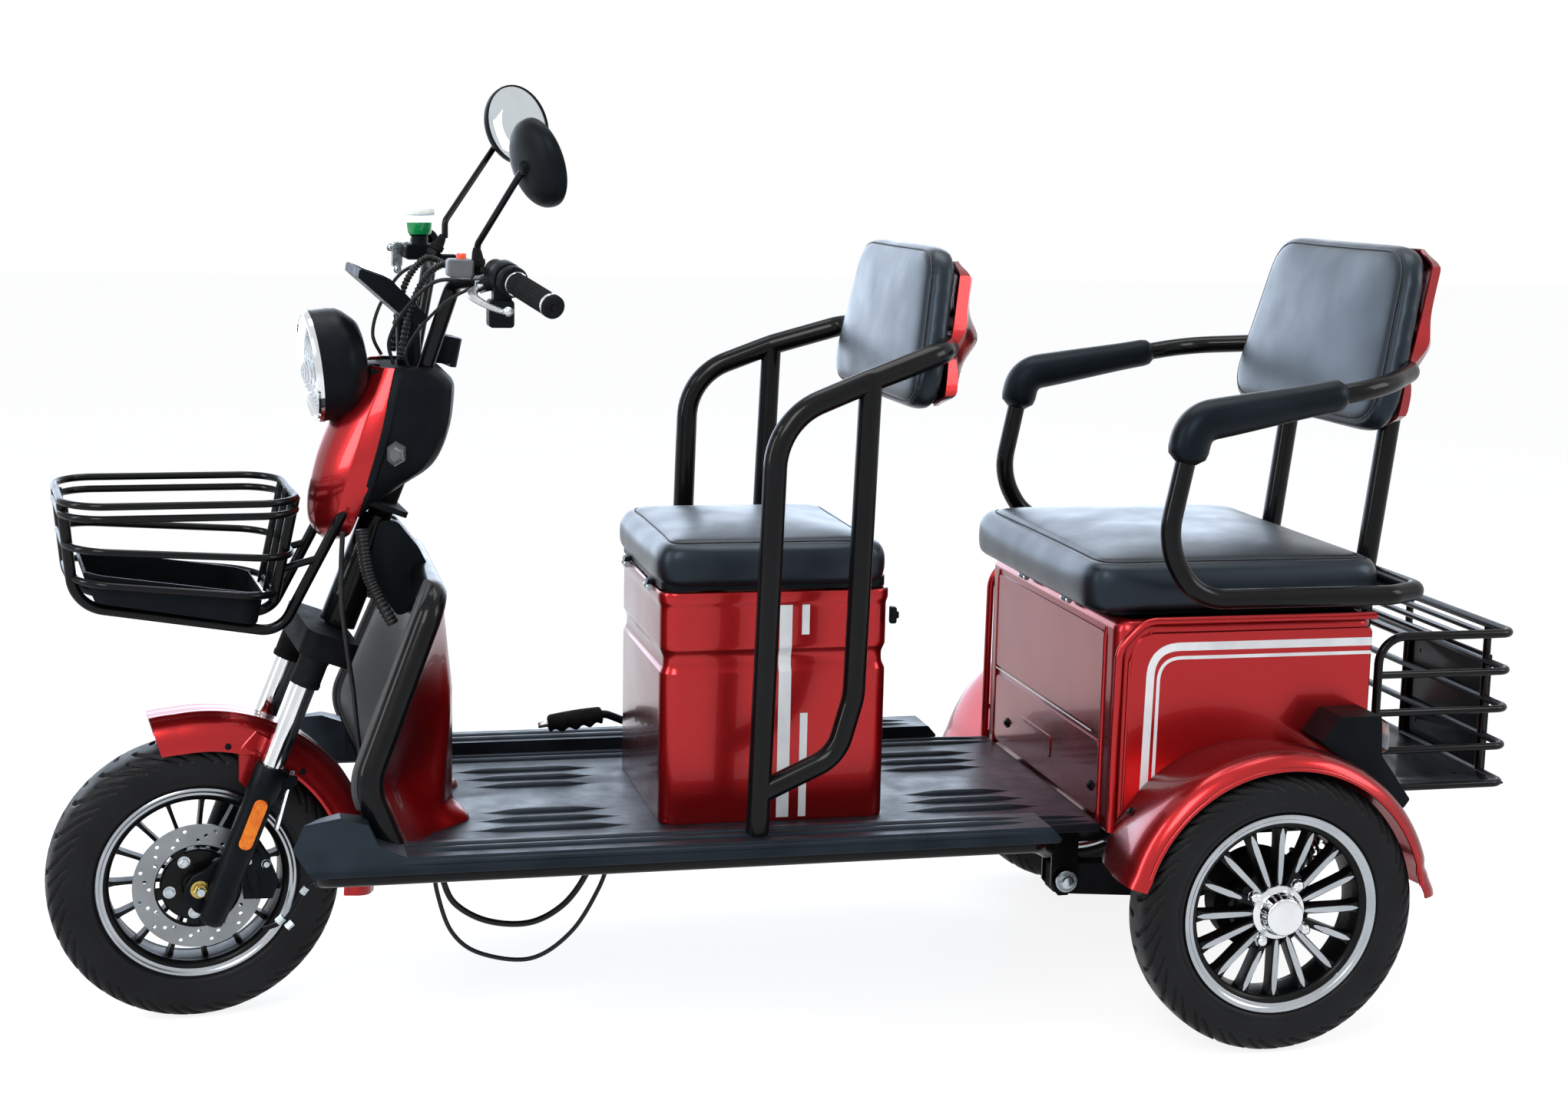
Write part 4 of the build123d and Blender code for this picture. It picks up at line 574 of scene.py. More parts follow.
gold_zinc = new_material("yellow passivated zinc plated steel", {"Metallic": 1.0})
mottle(gold_zinc, 4, "#A08A4A", "#B9A766")
vary(gold_zinc, "Roughness", 4, 0.25, 0.4)
axle = new_shape()
lathe(axle, [(0, -77), (5.6, -77), (6, -76), (6, 76), (5.4, 77), (0, 77)], steps=32)
for sign in (-1, 1):
    out = Matrix.Rotation(math.radians(180), 4, "X") if sign < 0 else Matrix()
    bolt(axle, out @ Matrix.Translation((0, 62, 0)), 1, 9.5, 9)
    lathe(axle, [(6, 48), (12, 48.5), (12, 53.5), (6, 54)] if sign > 0 else [(6, 33), (12, 33), (12, 53.5),
            (6, 54)],
          out, 0, 40)
fit("front_axle_bolt", axle, [zinc, gold_zinc], "steering", ["front_axle"], at_front_axle, 38)

# ---------------------------------------------------------------- fork legs
# Hard chromed steel tubes slide in die cast legs that are painted satin black. A rubber collar sits under
# the crown, and an amber reflector in a black frame is screwed to each leg.
LEG_AHEAD, LEG_SIDE = 30.0, 75.0


def aimed(start, end):
    """Frame that stands at one point with its Y axis towards another."""
    run = Vector(end) - Vector(start)
    return Matrix.Translation(start) @ run.to_track_quat("Y", "Z").to_matrix().to_4x4()


fork_up = steer_axis.copy()
fork_forward = across.cross(fork_up)
fork_origin = turned.inverted() @ steer_pivot
fork_frame = Matrix.Translation(fork_origin) @ Matrix((fork_forward, across, fork_up)).transposed().to_4x4()
on_turned_fork = turned @ fork_frame


def rounded_outline(width, height, radius, steps=6):
    """Outline of a rectangle with round corners, about its middle."""
    outline = []
    for turn, (x, z) in enumerate(((1, 1), (-1, 1), (-1, -1), (1, -1))):
        for step in range(steps + 1):
            angle = math.radians(90 * (turn + step / steps))
            outline.append((x * (width / 2 - radius) + radius * math.cos(angle),
                            z * (height / 2 - radius) + radius * math.sin(angle)))
    return outline


# Its specular tint colours its reflections pale blue like a sky, a painted reflection colour.
satin_black = new_material("satin black paint on die cast aluminium",
                           {"Specular IOR Level": 0.14, "Specular Tint": linear("#BFD3E4")})
mottle(satin_black, 35, "#060708", "#0B0C0E")
vary(satin_black, "Roughness", 12, 0.34, 0.46)
grain(satin_black, 0.9, 0.02)
dress(chrome, "fork_stanchions")
moulded_rubber = new_material("matt black moulded rubber", {"Specular IOR Level": 0.1})
mottle(moulded_rubber, 14, "#090A0B", "#0F1012")
vary(moulded_rubber, "Roughness", 8, 0.65, 0.8)
grain(moulded_rubber, 1.1, 0.04)
legs = new_shape()
leg_trim = new_shape()
amber = new_material("amber prismatic reflector acrylic", {"Coat Weight": 0.3, "Coat Roughness": 0.08,
                                                           "Specular IOR Level": 0.2})
mottle(amber, 9, "#CF5F04", "#DE7A08")
prisms = add_node(amber, "TexVoronoi", {"Scale": 260.0},
                  {"Vector": add_node(amber, "TexCoord").outputs["Object"]})
join_shader(amber, "Normal", add_node(amber, "Bump", {"Strength": 0.7, "Distance": 0.0008},
                                      {"Height": prisms.outputs["Distance"]}).outputs["Normal"])
for side in (-1, 1):
    leg = aimed((LEG_AHEAD, side * LEG_SIDE, -446), (LEG_AHEAD, side * LEG_SIDE, 0))
    lathe(legs, [(0, 0), (12, 0), (16, 3), (18, 10), (19.5, 40), (20.5, 120), (20.6, 190), (22.6, 194),
                 (22.8, 216), (22.8, 238), (21.6, 240.5), (17.2, 241), (17.0, 232)], leg, 0, 48)
    lathe(leg_trim, [(17, 362), (20.8, 362), (21.4, 365), (21.4, 368), (20.4, 370), (20.4, 398),
                     (21.4, 400), (21.4, 404), (17, 404)], leg, 0, 40)
    lug = [(LEG_AHEAD - 2, -442), (LEG_AHEAD + 22, -440), (74, -426), (78, -410), (74, -392), (62, -380),
           (LEG_AHEAD + 14, -352), (LEG_AHEAD - 2, -350)]
    inner, outer = sorted((side * (LEG_SIDE - 19), side * 62))
    slab(legs, lug, inner, outer, finish=0, edge=1.6)
    back_tab = [(LEG_AHEAD - 16, -262), (LEG_AHEAD - 30, -246), (LEG_AHEAD - 44, -220),
                (LEG_AHEAD - 40, -212), (LEG_AHEAD - 26, -214), (LEG_AHEAD - 12, -232)]
    low, high = sorted((side * 66, side * 74))
    slab(legs, back_tab, low, high, finish=0, edge=1)
    frame_out = Matrix.Translation((LEG_AHEAD, side * (LEG_SIDE + 17), -288)) \
        @ (Matrix.Rotation(math.pi, 4, "Z") if side < 0 else Matrix())
    slab(leg_trim, rounded_outline(25, 84, 11), -3, 4.6, frame_out, 1, 1.2)
    slab(leg_trim, rounded_outline(19, 74, 8), 4.4, 7.2, frame_out, 2, 1.6)
fit("fork_legs_cast", legs, satin_black, "steering", ["fork_sliders"], on_turned_fork, 40)
fit("fork_reflectors_amber", leg_trim, [moulded_rubber, satin_black, amber], "steering",
    ["fork_reflectors"], on_turned_fork, 40)

# ---------------------------------------------------------------- front brake caliper
# Mechanical caliper, cast and painted satin black, with zinc plated arm, screws and cable adjuster. It is
# screwed to the left fork leg behind the axle and straddles the disc.


def bent(points, radius, closed=False, steps=7):
    """Line through some corners, each rounded with a bend of about this radius."""
    count = len(points)
    line = []
    for index in range(count):
        here = Vector(points[index])
        if not closed and index in (0, count - 1):
            line.append(here)
            continue
        before, after = Vector(points[index - 1]) - here, Vector(points[(index + 1) % count]) - here
        half_angle = before.angle(after) / 2
        reach = min(radius / max(math.tan(half_angle), 0.05), before.length * 0.5, after.length * 0.5)
        first, last = here + before.normalized() * reach, here + after.normalized() * reach
        for step in range(steps + 1):
            t = step / steps
            line.append(first * (1 - t) ** 2 + here * 2 * t * (1 - t) + last * t * t)
    return line


def run_along(shape, line, radius, at=Matrix(), finish=0, sides=14, closed=False, flat=1.0):
    """Bar or cable along a line. The radius is a number or a function of the place along it, 0 to 1."""
    line = [Vector(point) for point in line]
    count = len(line)
    heading = (line[1] - line[-1 if closed else 0]).normalized()
    side = heading.cross(Vector((0.13, 0.21, 0.97))).normalized()
    points, faces = [], []
    for index, point in enumerate(line):
        ahead = line[(index + 1) % count] if closed or index < count - 1 else point
        behind = line[index - 1] if closed or index else point
        turn = (ahead - behind).normalized()
        side = (side - turn * side.dot(turn)).normalized()
        lift = turn.cross(side)
        size = radius(index / max(count - 1, 1)) if callable(radius) else radius
        for number in range(sides):
            angle = 2 * math.pi * number / sides
            points.append(point + side * math.cos(angle) * size + lift * math.sin(angle) * size * flat)
    for index in range(count if closed else count - 1):
        here, there = index * sides, (index + 1) % count * sides
        faces += [(here + i, here + (i + 1) % sides, there + (i + 1) % sides,
                   there + i) for i in range(sides)]
    if not closed:
        faces += [tuple(range(sides))[::-1], tuple(range((count - 1) * sides, count * sides))]
    add(shape, points, faces, at, finish)


# Brings points given where the steering rests onto the fork as it is drawn, straight ahead.
rested = turned.inverted() @ standing
caliper = new_shape()
from_axle = Matrix.Translation(straight_axle)
lean = from_axle @ wheel_turn(-150)
slab(caliper, [(50, -26), (66, -34), (96, -30), (104, -14), (104, 16), (94, 32), (64, 34), (50, 24)], 48.5,
     62, lean, 0, 3)
slab(caliper, [(60, -22), (96, -22), (96, 22), (60, 22)], 30, 41, lean, 0, 1)
for z in (-20, 20):
    lathe(caliper, [(6, 34), (6, 66), (0, 66)], lean @ Matrix.Translation((94, 0, z)), 0, 24)
    bolt(caliper, lean @ Matrix.Translation((94, 62, z)), 1, 5, 5)
lathe(caliper, [(19, 60), (18, 66), (13, 68), (0, 68)], lean @ Matrix.Translation((76, 0, 0)), 0, 36)
bolt(caliper, lean @ Matrix.Translation((76, 67, 0)), 1, 5.5, 5)
slab(caliper, [(70, -6), (78, -8), (86, 0), (64, 52), (56, 50)], 66.5, 69.5, lean, 0, 0.4)
slab(caliper, [(-44, -392), (-6, -404), (8, -372), (0, -336), (-20, -338), (-44, -366)], 52, 60, fork_frame,
     0, 1)
run_along(caliper, flowing([(1372, 84, 142), (1340, 80, 155), (1311, 80, 201), (1295, 80, 213)], 5), 3.2,
          rested, 0, 12)
for start, end, radius in (((1352, 81, 150), (1334, 80, 166), 6), ((1318, 80, 190), (1304, 80, 208), 5),
                           ((1340, 82, 142), (1330, 80, 150), 5)):
    lathe(caliper, [(0, 0), (radius, 0), (radius, 11), (0, 11)], rested @ aimed(start, end), 1, 6)
run_along(caliper, flowing([(1295, 80, 213), (1276, 82, 232), (1262, 84, 262), (1262, 84, 300)], 6), 3.4,
          rested, 2, 12)
fit("brake_caliper_cast", caliper, [satin_black, zinc, moulded_rubber], "steering",
    ["brake_caliper"], turned, 35)

# ---------------------------------------------------------------- front mudguard
# Pressed steel, candy red. Its base colour is painted orange-red where the surface faces the view and deep
# maroon where it turns away, a painted highlight and painted shade. Two ribs stiffen the crown, and a strut
# is screwed to each side.


def worked(shape, **modifiers):
    """The mesh of a shape after these modifiers, each named by its kind with its settings."""
    mesh = shape
    if isinstance(shape, bmesh.types.BMesh):
        bmesh.ops.remove_doubles(shape, verts=shape.verts, dist=0.01)
        bmesh.ops.recalc_face_normals(shape, faces=shape.faces)
        mesh = bpy.data.meshes.new("worked")
        shape.to_mesh(mesh)
        shape.free()
    holder = bpy.data.objects.new("worked", mesh)
    bpy.context.scene.collection.objects.link(holder)
    for kind, settings in modifiers.items():
        step = holder.modifiers.new(kind, kind)
        for name, value in settings.items():
            setattr(step, name, value)
    bpy.context.view_layer.update()
    done = bpy.data.meshes.new_from_object(holder.evaluated_get(bpy.context.evaluated_depsgraph_get()))
    bpy.data.objects.remove(holder)
    return done


def skin(shape, rows, at=Matrix(), finish=0, closed=False):
    """Surface over rows of points, each row as long as the others."""
    count = len(rows[0])
    faces = [(row * count + i, row * count + (i + 1) % count, (row + 1) * count + (i + 1) % count,
              (row + 1) * count + i)
             for row in range(len(rows) - 1) for i in range(count if closed else count - 1)]
    add(shape, [point for row in rows for point in row], faces, at, finish)


def join_mesh(shape, mesh, at=Matrix(), finish=0):
    """Adds a finished mesh to a shape."""
    add(shape, [vertex.co for vertex in mesh.vertices], [tuple(face.vertices) for face in mesh.polygons],
        at, finish)


def thickened(surface, thickness, offset=-1.0, **more):
    """A shape that holds a surface made this thick, after any further modifiers."""
    solid = new_shape()
    join_mesh(solid, worked(surface, SOLIDIFY={"thickness": thickness, "offset": offset}, **more))
    return solid


candy_red = new_material("candy red lacquer with painted shade by view angle",
                         {"Metallic": 0.8, "Coat Weight": 0.28, "Coat Roughness": 0.03, "Roughness": 0.26})
# Painted shade: Layer Weight's facing turns the base colour from orange-red where the surface faces the view
# to maroon where it turns away, with slow random patches added.
painted_facing_shade = add_node(candy_red, "LayerWeight", {"Blend": 0.42}).outputs["Facing"]
clouds = add_node(candy_red, "Math", {"operation": "MULTIPLY_ADD", 1: 0.12, 2: -0.06},
                  {0: patches(candy_red, 120).outputs["Fac"]})
painted_facing_shade = add_node(candy_red, "Math", {"operation": "ADD"}, {0: painted_facing_shade, 1: clouds.outputs[0]}).outputs[0]
painted_shade_reds = add_node(candy_red, "ValToRGB", {}, {"Fac": painted_facing_shade})
for stop, (place, colour) in zip(painted_shade_reds.color_ramp.elements, ((0.1, "#A3181C"), (0.8, "#560A12"))):
    stop.position, stop.color = place, linear(colour)
join_shader(candy_red, "Base Color", painted_shade_reds.outputs["Color"])
vary(candy_red, "Roughness", 90, 0.24, 0.3)
grain(candy_red, 70, 0.008, 0.0)

FRONT_GUARD_START, FRONT_GUARD_SWEEP = 74, 116
guard_centre = Matrix.Translation(straight_axle + Vector((-8, 0, 2)))
half_profile = flowing([(194, 51.5), (198, 52.5), (203, 51), (212, 49.5), (222, 46), (231, 40), (238, 31),
                        (241, 24), (243.6, 20), (243.4, 13), (243.8, 0)], 3)
profile = half_profile + [(radius, -y) for radius, y in half_profile[-2::-1]]
rows = []
for step in range(73):
    share = step / 72
    angle = math.radians(FRONT_GUARD_START + FRONT_GUARD_SWEEP * share)
    flare = 3.5 * max(0.0, 1 - share * 14) + 2.5 * max(0.0, share * 14 - 13)
    row = []
    for radius, y in profile:
        row.append(((radius + flare) * math.cos(angle), y, (radius + flare) * math.sin(angle)))
    rows.append(row)
front_guard = new_shape()
skin(front_guard, rows, guard_centre)
trim = thickened(front_guard, 2.4)
for side in (-1, 1):
    flip = Matrix.Scale(side, 4, (0, 1, 0))
    wing = [(1346, 380), (1352, 362), (1372, 338), (1394, 336), (1408, 352), (1408, 398), (1384, 424),
            (1362, 410)]
    slab(trim, wing, 47, 51.5, flip, 0, 1.6)
    slab(trim, [(1374, 388), (1384, 362), (1392, 366), (1384, 398)], 51, 54, flip, 0, 1.4)
    for x, z in ((1422, 404), (1320, 360)):
        bolt(trim, flip @ Matrix.Translation((x, 48, z)), 1, 5, 5)
    run_along(trim, bent([(1334, 52 * side, 362), (1345, 72 * side, 342), (1363, 90 * side, 292)], 14), 4.2,
              finish=2, sides=10, flat=0.45)
fit("front_mudguard_pressed", trim, [candy_red, satin_black, zinc], "steering",
    ["front_mudguard"], turned, 30)

# ---------------------------------------------------------------- basket tray
# Vacuum formed tray of black plastic, let into the wire basket. Its rim is folded over, and a fine moulded
# grain keeps its highlights dull.
# Its specular tint colours its reflections pale blue like a sky, a painted reflection colour.
black_abs = new_material("grained black moulded ABS",
                         {"Specular IOR Level": 0.12, "Specular Tint": linear("#BFD3E4")})
mottle(black_abs, 50, "#060709", "#0B0D0F")
vary(black_abs, "Roughness", 20, 0.4, 0.52)
grain(black_abs, 1.1, 0.05)


def rounded_copy(node, radius, angle=25, segments=3, at=Matrix()):
    """A shape that holds a copy of a CAD piece in millimetres, with its hard edges rounded."""
    source = bmesh.new()
    source.from_mesh(frame["nodes"][node].data)
    source.transform(standing.inverted() @ frame["nodes"][node].matrix_world)
    bmesh.ops.remove_doubles(source, verts=source.verts, dist=0.02)
    bmesh.ops.dissolve_limit(source, angle_limit=math.radians(1.0), verts=source.verts, edges=source.edges)
    copy = new_shape()
    join_mesh(copy, worked(source, BEVEL={"width": radius, "segments": segments, "limit_method": "ANGLE",
                                          "angle_limit": math.radians(angle), "harden_normals": False,
                                          "use_clamp_overlap": True}), at)
    return copy


tray = rounded_copy("basket_tray", 4.0)
fit("basket_tray_formed", tray, black_abs, "steering", ["basket_tray"], crease=35)

# ---------------------------------------------------------------- cowl and housing
# Two injection moulded shells clipped together round the steering stem: the front one lacquered candy red
# in long flat facets that run down to a pointed nose, the rear one left as satin black plastic.
#         height, front X, joint X, half width at the joint
COWL = ((684, 1282, 1262, 16), (694, 1292, 1254, 38), (712, 1301, 1249, 54), (740, 1302, 1242, 68),
        (775, 1297, 1232, 81), (815, 1286, 1221, 86), (870, 1262, 1206, 80), (905, 1240, 1197, 70),
        (930, 1224, 1190, 62))
#           height, joint X, rear X, half width at the joint, half width behind
HOUSING = ((722, 1247, 1222, 50, 42), (745, 1240, 1200, 68, 62), (770, 1233, 1168, 78, 74),
           (790, 1228, 1140, 84, 81),
           (815, 1221, 1124, 86, 84), (850, 1211, 1112, 84, 83), (886, 1202, 1106, 78, 78),
           (908, 1196, 1106, 72, 73), (922, 1192, 1118, 66, 66), (930, 1190, 1126, 60, 58))
shells = new_shape()
rows = []
for height, front, joint, half in flowing(COWL, 4):
    depth = front - joint
    marks = [(joint - 3, half + 0.5), (joint + 1, half), (joint + depth * 0.40, half * 0.93),
             (joint + depth * 0.46, half * 0.9), (joint + depth * 0.86, half * 0.50),
             (joint + depth * 0.9, half * 0.44),
             (joint + depth * 0.985, half * 0.12), (joint + depth, half * 0.05)]
    rows.append([(x, y, height) for x, y in marks] + [(x, -y, height) for x, y in reversed(marks)])
skin(shells, rows)
SHELL_EDGE = {"width": 0.8, "segments": 2, "limit_method": "ANGLE", "angle_limit": 0.9}
cowl = thickened(shells, 2.6, BEVEL=SHELL_EDGE)
fit("cowl_lacquered", cowl, candy_red, "steering", ["cowl"], turned, 22)
shells = new_shape()
rows = []
for height, joint, rear, half, back in flowing(HOUSING, 4):
    marks = [(joint + 3, half - 2.5), (joint + 2, half + 1.5), (joint - 7, half + 3),
             (joint - 11, half + 0.5),
             (joint - (joint - rear) * 0.35, (half + back) / 2 + 1), (rear + 26, back),
             (rear + 20, back - 1.5), (rear + 9, back - 11), (rear + 2, back - 26), (rear, back - 34)]
    rows.append([(x, y, height) for x, y in marks] + [(x, -y, height) for x, y in reversed(marks)])
skin(shells, rows)
housing = thickened(shells, 2.6, BEVEL=SHELL_EDGE)
slab(housing, [(1222, 42), (1205, 58), (1187, 60), (1150, 57), (1131, 44), (1124, 20), (1124, -20),
               (1131, -44), (1150, -57), (1187, -60), (1205, -58), (1222, -42)],
     919, 926, Matrix(((1, 0, 0, 0), (0, 0, 1, 0), (0, 1, 0, 0), (0, 0, 0, 1))), 1, 1.5)
fit("housing_moulded", housing, [black_abs, moulded_rubber], "steering", ["housing"],
    turned, 24)

# ---------------------------------------------------------------- headlamp
# Black plastic bucket with a chrome bezel, a bright vacuum metallised bowl with its bulb, and a clear
# polycarbonate lens that is fluted inside and bulges a little.
lamp_place = Matrix.Translation((1296, 0, 925)) @ Matrix.Rotation(math.radians(6.5), 4, "Y") \
    @ SIDEWAYS
lamp = new_shape()
lathe(lamp, [(74.5, 2), (77.4, 2.5), (77.6, 6), (76.8, 9), (76.9, 30), (75.6, 42), (71.5, 50), (60, 63),
             (54, 68), (44, 71), (20, 75), (0, 75)], lamp_place, 0, 96)
lathe(lamp, [(70, 1), (72.5, -4.6), (75.4, -4.6), (77.8, -1.6), (78, 3.4), (76, 5.4)], lamp_place, 1, 96)
lathe(lamp, flowing([(72, 0), (66, 12), (54, 26), (36, 38), (14, 45), (9, 45)], 4), lamp_place, 2, 80)
lathe(lamp, [(9, 45), (8, 20), (6.5, 14), (0, 12)], lamp_place, 1, 32)
slab(lamp, [(1204, 904), (1242, 908), (1242, 930), (1204, 930)], -20, 20, finish=0, edge=2)
mirror_bowl = new_material("vacuum metallised reflector bowl", {"Metallic": 1.0})
mottle(mirror_bowl, 20, "#C9CDD1", "#DADDE0")
vary(mirror_bowl, "Roughness", 15, 0.12, 0.2)
facets = add_node(mirror_bowl, "TexVoronoi", {"Scale": 90.0},
                  {"Vector": add_node(mirror_bowl, "TexCoord").outputs["Object"]})
join_shader(mirror_bowl, "Normal", add_node(mirror_bowl, "Bump", {"Strength": 0.4, "Distance": 0.002},
                                            {"Height": facets.outputs["Distance"]}).outputs["Normal"])
fit("headlamp_bucket", lamp, [black_abs, chrome, mirror_bowl], "steering", ["headlamp"],
    turned, 35)

clear_plastic = new_material("clear polycarbonate",
                             {"Transmission Weight": 0.92, "IOR": 1.49, "Roughness": 0.03,
                                                     "Base Color": linear("#F2F6FA")})
vary(clear_plastic, "Roughness", 30, 0.02, 0.06)
lens = new_shape()
points, faces = [], []
LENS_RINGS, LENS_SIDES, FLUTE = 18, 144, 7.0
for layer in (0, 1):
    for number in range(LENS_RINGS + 1):
        radius = 72.5 * number / LENS_RINGS + 0.01
        for step in range(LENS_SIDES):
            angle = 2 * math.pi * step / LENS_SIDES
            x, z = radius * math.cos(angle), radius * math.sin(angle)
            y = -1 - 15 * (1 - (radius / 72.5) ** 2) + layer * 3
            if layer and radius < 68:
                y += 0.9 * math.cos(2 * math.pi * x / FLUTE)
            points.append((x, y, z))
for layer in (0, 1):
    for number in range(LENS_RINGS):
        base = (layer * (LENS_RINGS + 1) + number) * LENS_SIDES
        for step in range(LENS_SIDES):
            faces.append((base + step, base + (step + 1) % LENS_SIDES,
                          base + LENS_SIDES + (step + 1) % LENS_SIDES,
                          base + LENS_SIDES + step))
outer_edge, inner_edge = LENS_RINGS * LENS_SIDES, (2 * LENS_RINGS + 1) * LENS_SIDES
faces += [(outer_edge + step, outer_edge + (step + 1) % LENS_SIDES, inner_edge + (step + 1) % LENS_SIDES,
           inner_edge + step) for step in range(LENS_SIDES)]
add(lens, points, faces, lamp_place)
fit("headlamp_lens_fluted", lens, clear_plastic, "steering", ["headlamp_lens"], turned, 50)

# ---------------------------------------------------------------- indicators
# A faceted lamp on each side of the housing: black base, metallised bowl and a clear lens with six slopes,
# its long way up.
winkers = new_shape()


def six_sided(shape, levels, place, finish):
    rows = [[(size * across, out, size * up) for across,
             up in ((0.62, 0.5), (0, 1.0), (-0.8, 0.56), (-0.8, -0.5), (0, -1.0),
                                                                 (0.62, -0.5))] for size, out in levels]
    skin(shape, rows, place, finish, True)
    add(shape, rows[-1], [tuple(range(6))], place, finish)


for side in (-1, 1):
    place = aimed((1193, side * 74, 814), (1203, side * 112, 818))
    six_sided(winkers, [(17, -4), (19, 2), (19, 12), (17.4, 14)], place, 0)
    six_sided(winkers, [(16.5, 13), (9, 9), (7, 8.5)], place, 1)
    six_sided(winkers, [(18, 12), (18, 20), (15.5, 30), (9.5, 37)], place, 2)
fit("indicators_clear", winkers, [black_abs, mirror_bowl, clear_plastic], "steering",
    ["indicators"], turned, 40)

# ---------------------------------------------------------------- grips and bar switches
# Rubber grips with lengthwise ribs between two chromed rings, and moulded switch blocks: an orange button
# on the left block, a lower block under it, and a twist housing at the inner end of each grip.
BAR_END, BAR_BEND = Vector((1057, 383, 1050)), Vector((1084, 255, 1072))
GRIP_RIBS = 18
grips, blocks = new_shape(), new_shape()
for side in (1, -1):
    flip = Matrix.Scale(side, 4, (0, 1, 0))
    bar = flip @ aimed(BAR_END, BAR_BEND)
    rows = []
    for step in range(41):
        y = 8 + 98 * step / 40
        fade = min(1.0, step / 3, (40 - step) / 3)
        row = []
        for number in range(GRIP_RIBS * 8):
            angle = 2 * math.pi * number / (GRIP_RIBS * 8)
            radius = 14.2 + fade * 0.9 * max(-0.4, math.cos(GRIP_RIBS * angle))
            row.append((radius * math.cos(angle), y, radius * math.sin(angle)))
        rows.append(row)
    skin(grips, rows, bar, 0, True)
    lathe(grips, [(0, -5), (4, -5), (4.5, -3), (9, -4), (13, -3.5), (15.2, -1), (15.6, 2), (15.6, 4),
                  (14, 4)], bar, 0, 40)
    for y in (3, 104):
        lathe(grips, [(14, y), (15.9, y), (16.3, y + 1.2), (16.3, y + 4), (15.9, y + 5), (14, y + 5)], bar,
              1, 48)
    lathe(blocks, [(11.4, 109), (17, 109), (17, 111), (19.5, 112), (20.5, 114), (20.5, 124), (19.6, 126),
                   (17.4, 126.5),
                   (17.4, 129), (20.8, 130), (21.3, 132), (21.3, 148), (20, 150), (16.5, 151), (16, 172),
                   (11.4, 173)],
          bar, 0, 40)
    pivot = flip @ aimed((1092, 232, 1068), (1118, 222, 1056))
    lathe(blocks, [(0, 0), (11, 0), (10, 14), (8.5, 22), (8.5, 27), (0, 27)], pivot, 0, 28)
    bolt(blocks, flip @ Matrix.Translation((1116, 224, 1058)) @ UPRIGHT, 1, 4, 9)
slab(blocks, rounded_outline(33, 36, 5), -17, 17, rested @ Matrix.Translation((1060, 247, 1014)), 0, 2)
slab(blocks, rounded_outline(24, 20, 4), -14, 14, rested @ Matrix.Translation((1058, 244, 1038)), 0, 1.5)
slab(blocks, rounded_outline(34, 24, 5), -18, 18, rested @ Matrix.Translation((1108, 200, 1070)), 3, 2.5)
lathe(blocks, [(6.4, 0), (6.4, 6), (5.8, 7), (0, 7.4)],
      rested @ Matrix.Translation((1106, 200, 1082)) @ UPRIGHT, 2, 32)
slab(blocks, rounded_outline(40, 20, 5), -12, 12, rested @ Matrix.Translation((1088, -246, 1058)), 0, 2)
grey_abs = new_material("grey moulded ABS", {"Specular IOR Level": 0.3})
mottle(grey_abs, 20, "#4A4D50", "#55585C")
vary(grey_abs, "Roughness", 10, 0.42, 0.55)
orange_knob = new_material("orange moulded button", {"Specular IOR Level": 0.4})
mottle(orange_knob, 6, "#E23A12", "#F04A18")
vary(orange_knob, "Roughness", 6, 0.3, 0.4)
fit("grips_ribbed", grips, [moulded_rubber, chrome], "steering", ["grips"], turned, 50)
fit("bar_switches_moulded", blocks, [black_abs, zinc, orange_knob, grey_abs], "steering",
    ["bar_switches"], turned, 35)

# ---------------------------------------------------------------- brake levers
# Forged aluminium levers that hinge in front of the switch blocks. They are tumbled bright, so they look soft
# and silvery rather than mirror-like, and each ends in a ball.
tumbled = new_material("tumbled forged aluminium", {"Metallic": 1.0})
mottle(tumbled, 10, "#B4B9BD", "#C9CDD0")
vary(tumbled, "Roughness", 6, 0.2, 0.32)
levers = new_shape()
for side in (1, -1):
    flip = Matrix.Scale(side, 4, (0, 1, 0))
    blade = flowing([(1112, 228, 1058), (1126, 243, 1054), (1132, 268, 1050), (1124, 300, 1044),
                     (1112, 334, 1040), (1108, 350, 1041)], 7)
    run_along(levers, blade, lambda share: 8.4 - 3.4 * share + (1.6 if share > 0.94 else 0), flip, 0, 16,
              flat=0.55)
    ball = flip @ aimed((1108, 346, 1041), (1106, 358, 1041.5))
    lathe(levers, [(0, 0)] + [(6.2 * math.sin(math.radians(a)), 6.2 - 6.2 * math.cos(math.radians(a)))
                              for a in range(15, 180, 15)] + [(0, 12.4)], ball, 0, 20)
    lathe(levers, [(0, -5), (6.5, -5), (6.5, 5), (0, 5)], flip @ Matrix.Translation((1112, 228, 1058))
          @ UPRIGHT, 0, 24)
fit("brake_levers_forged", levers, tumbled, "steering", ["brake_levers"], turned, 40)

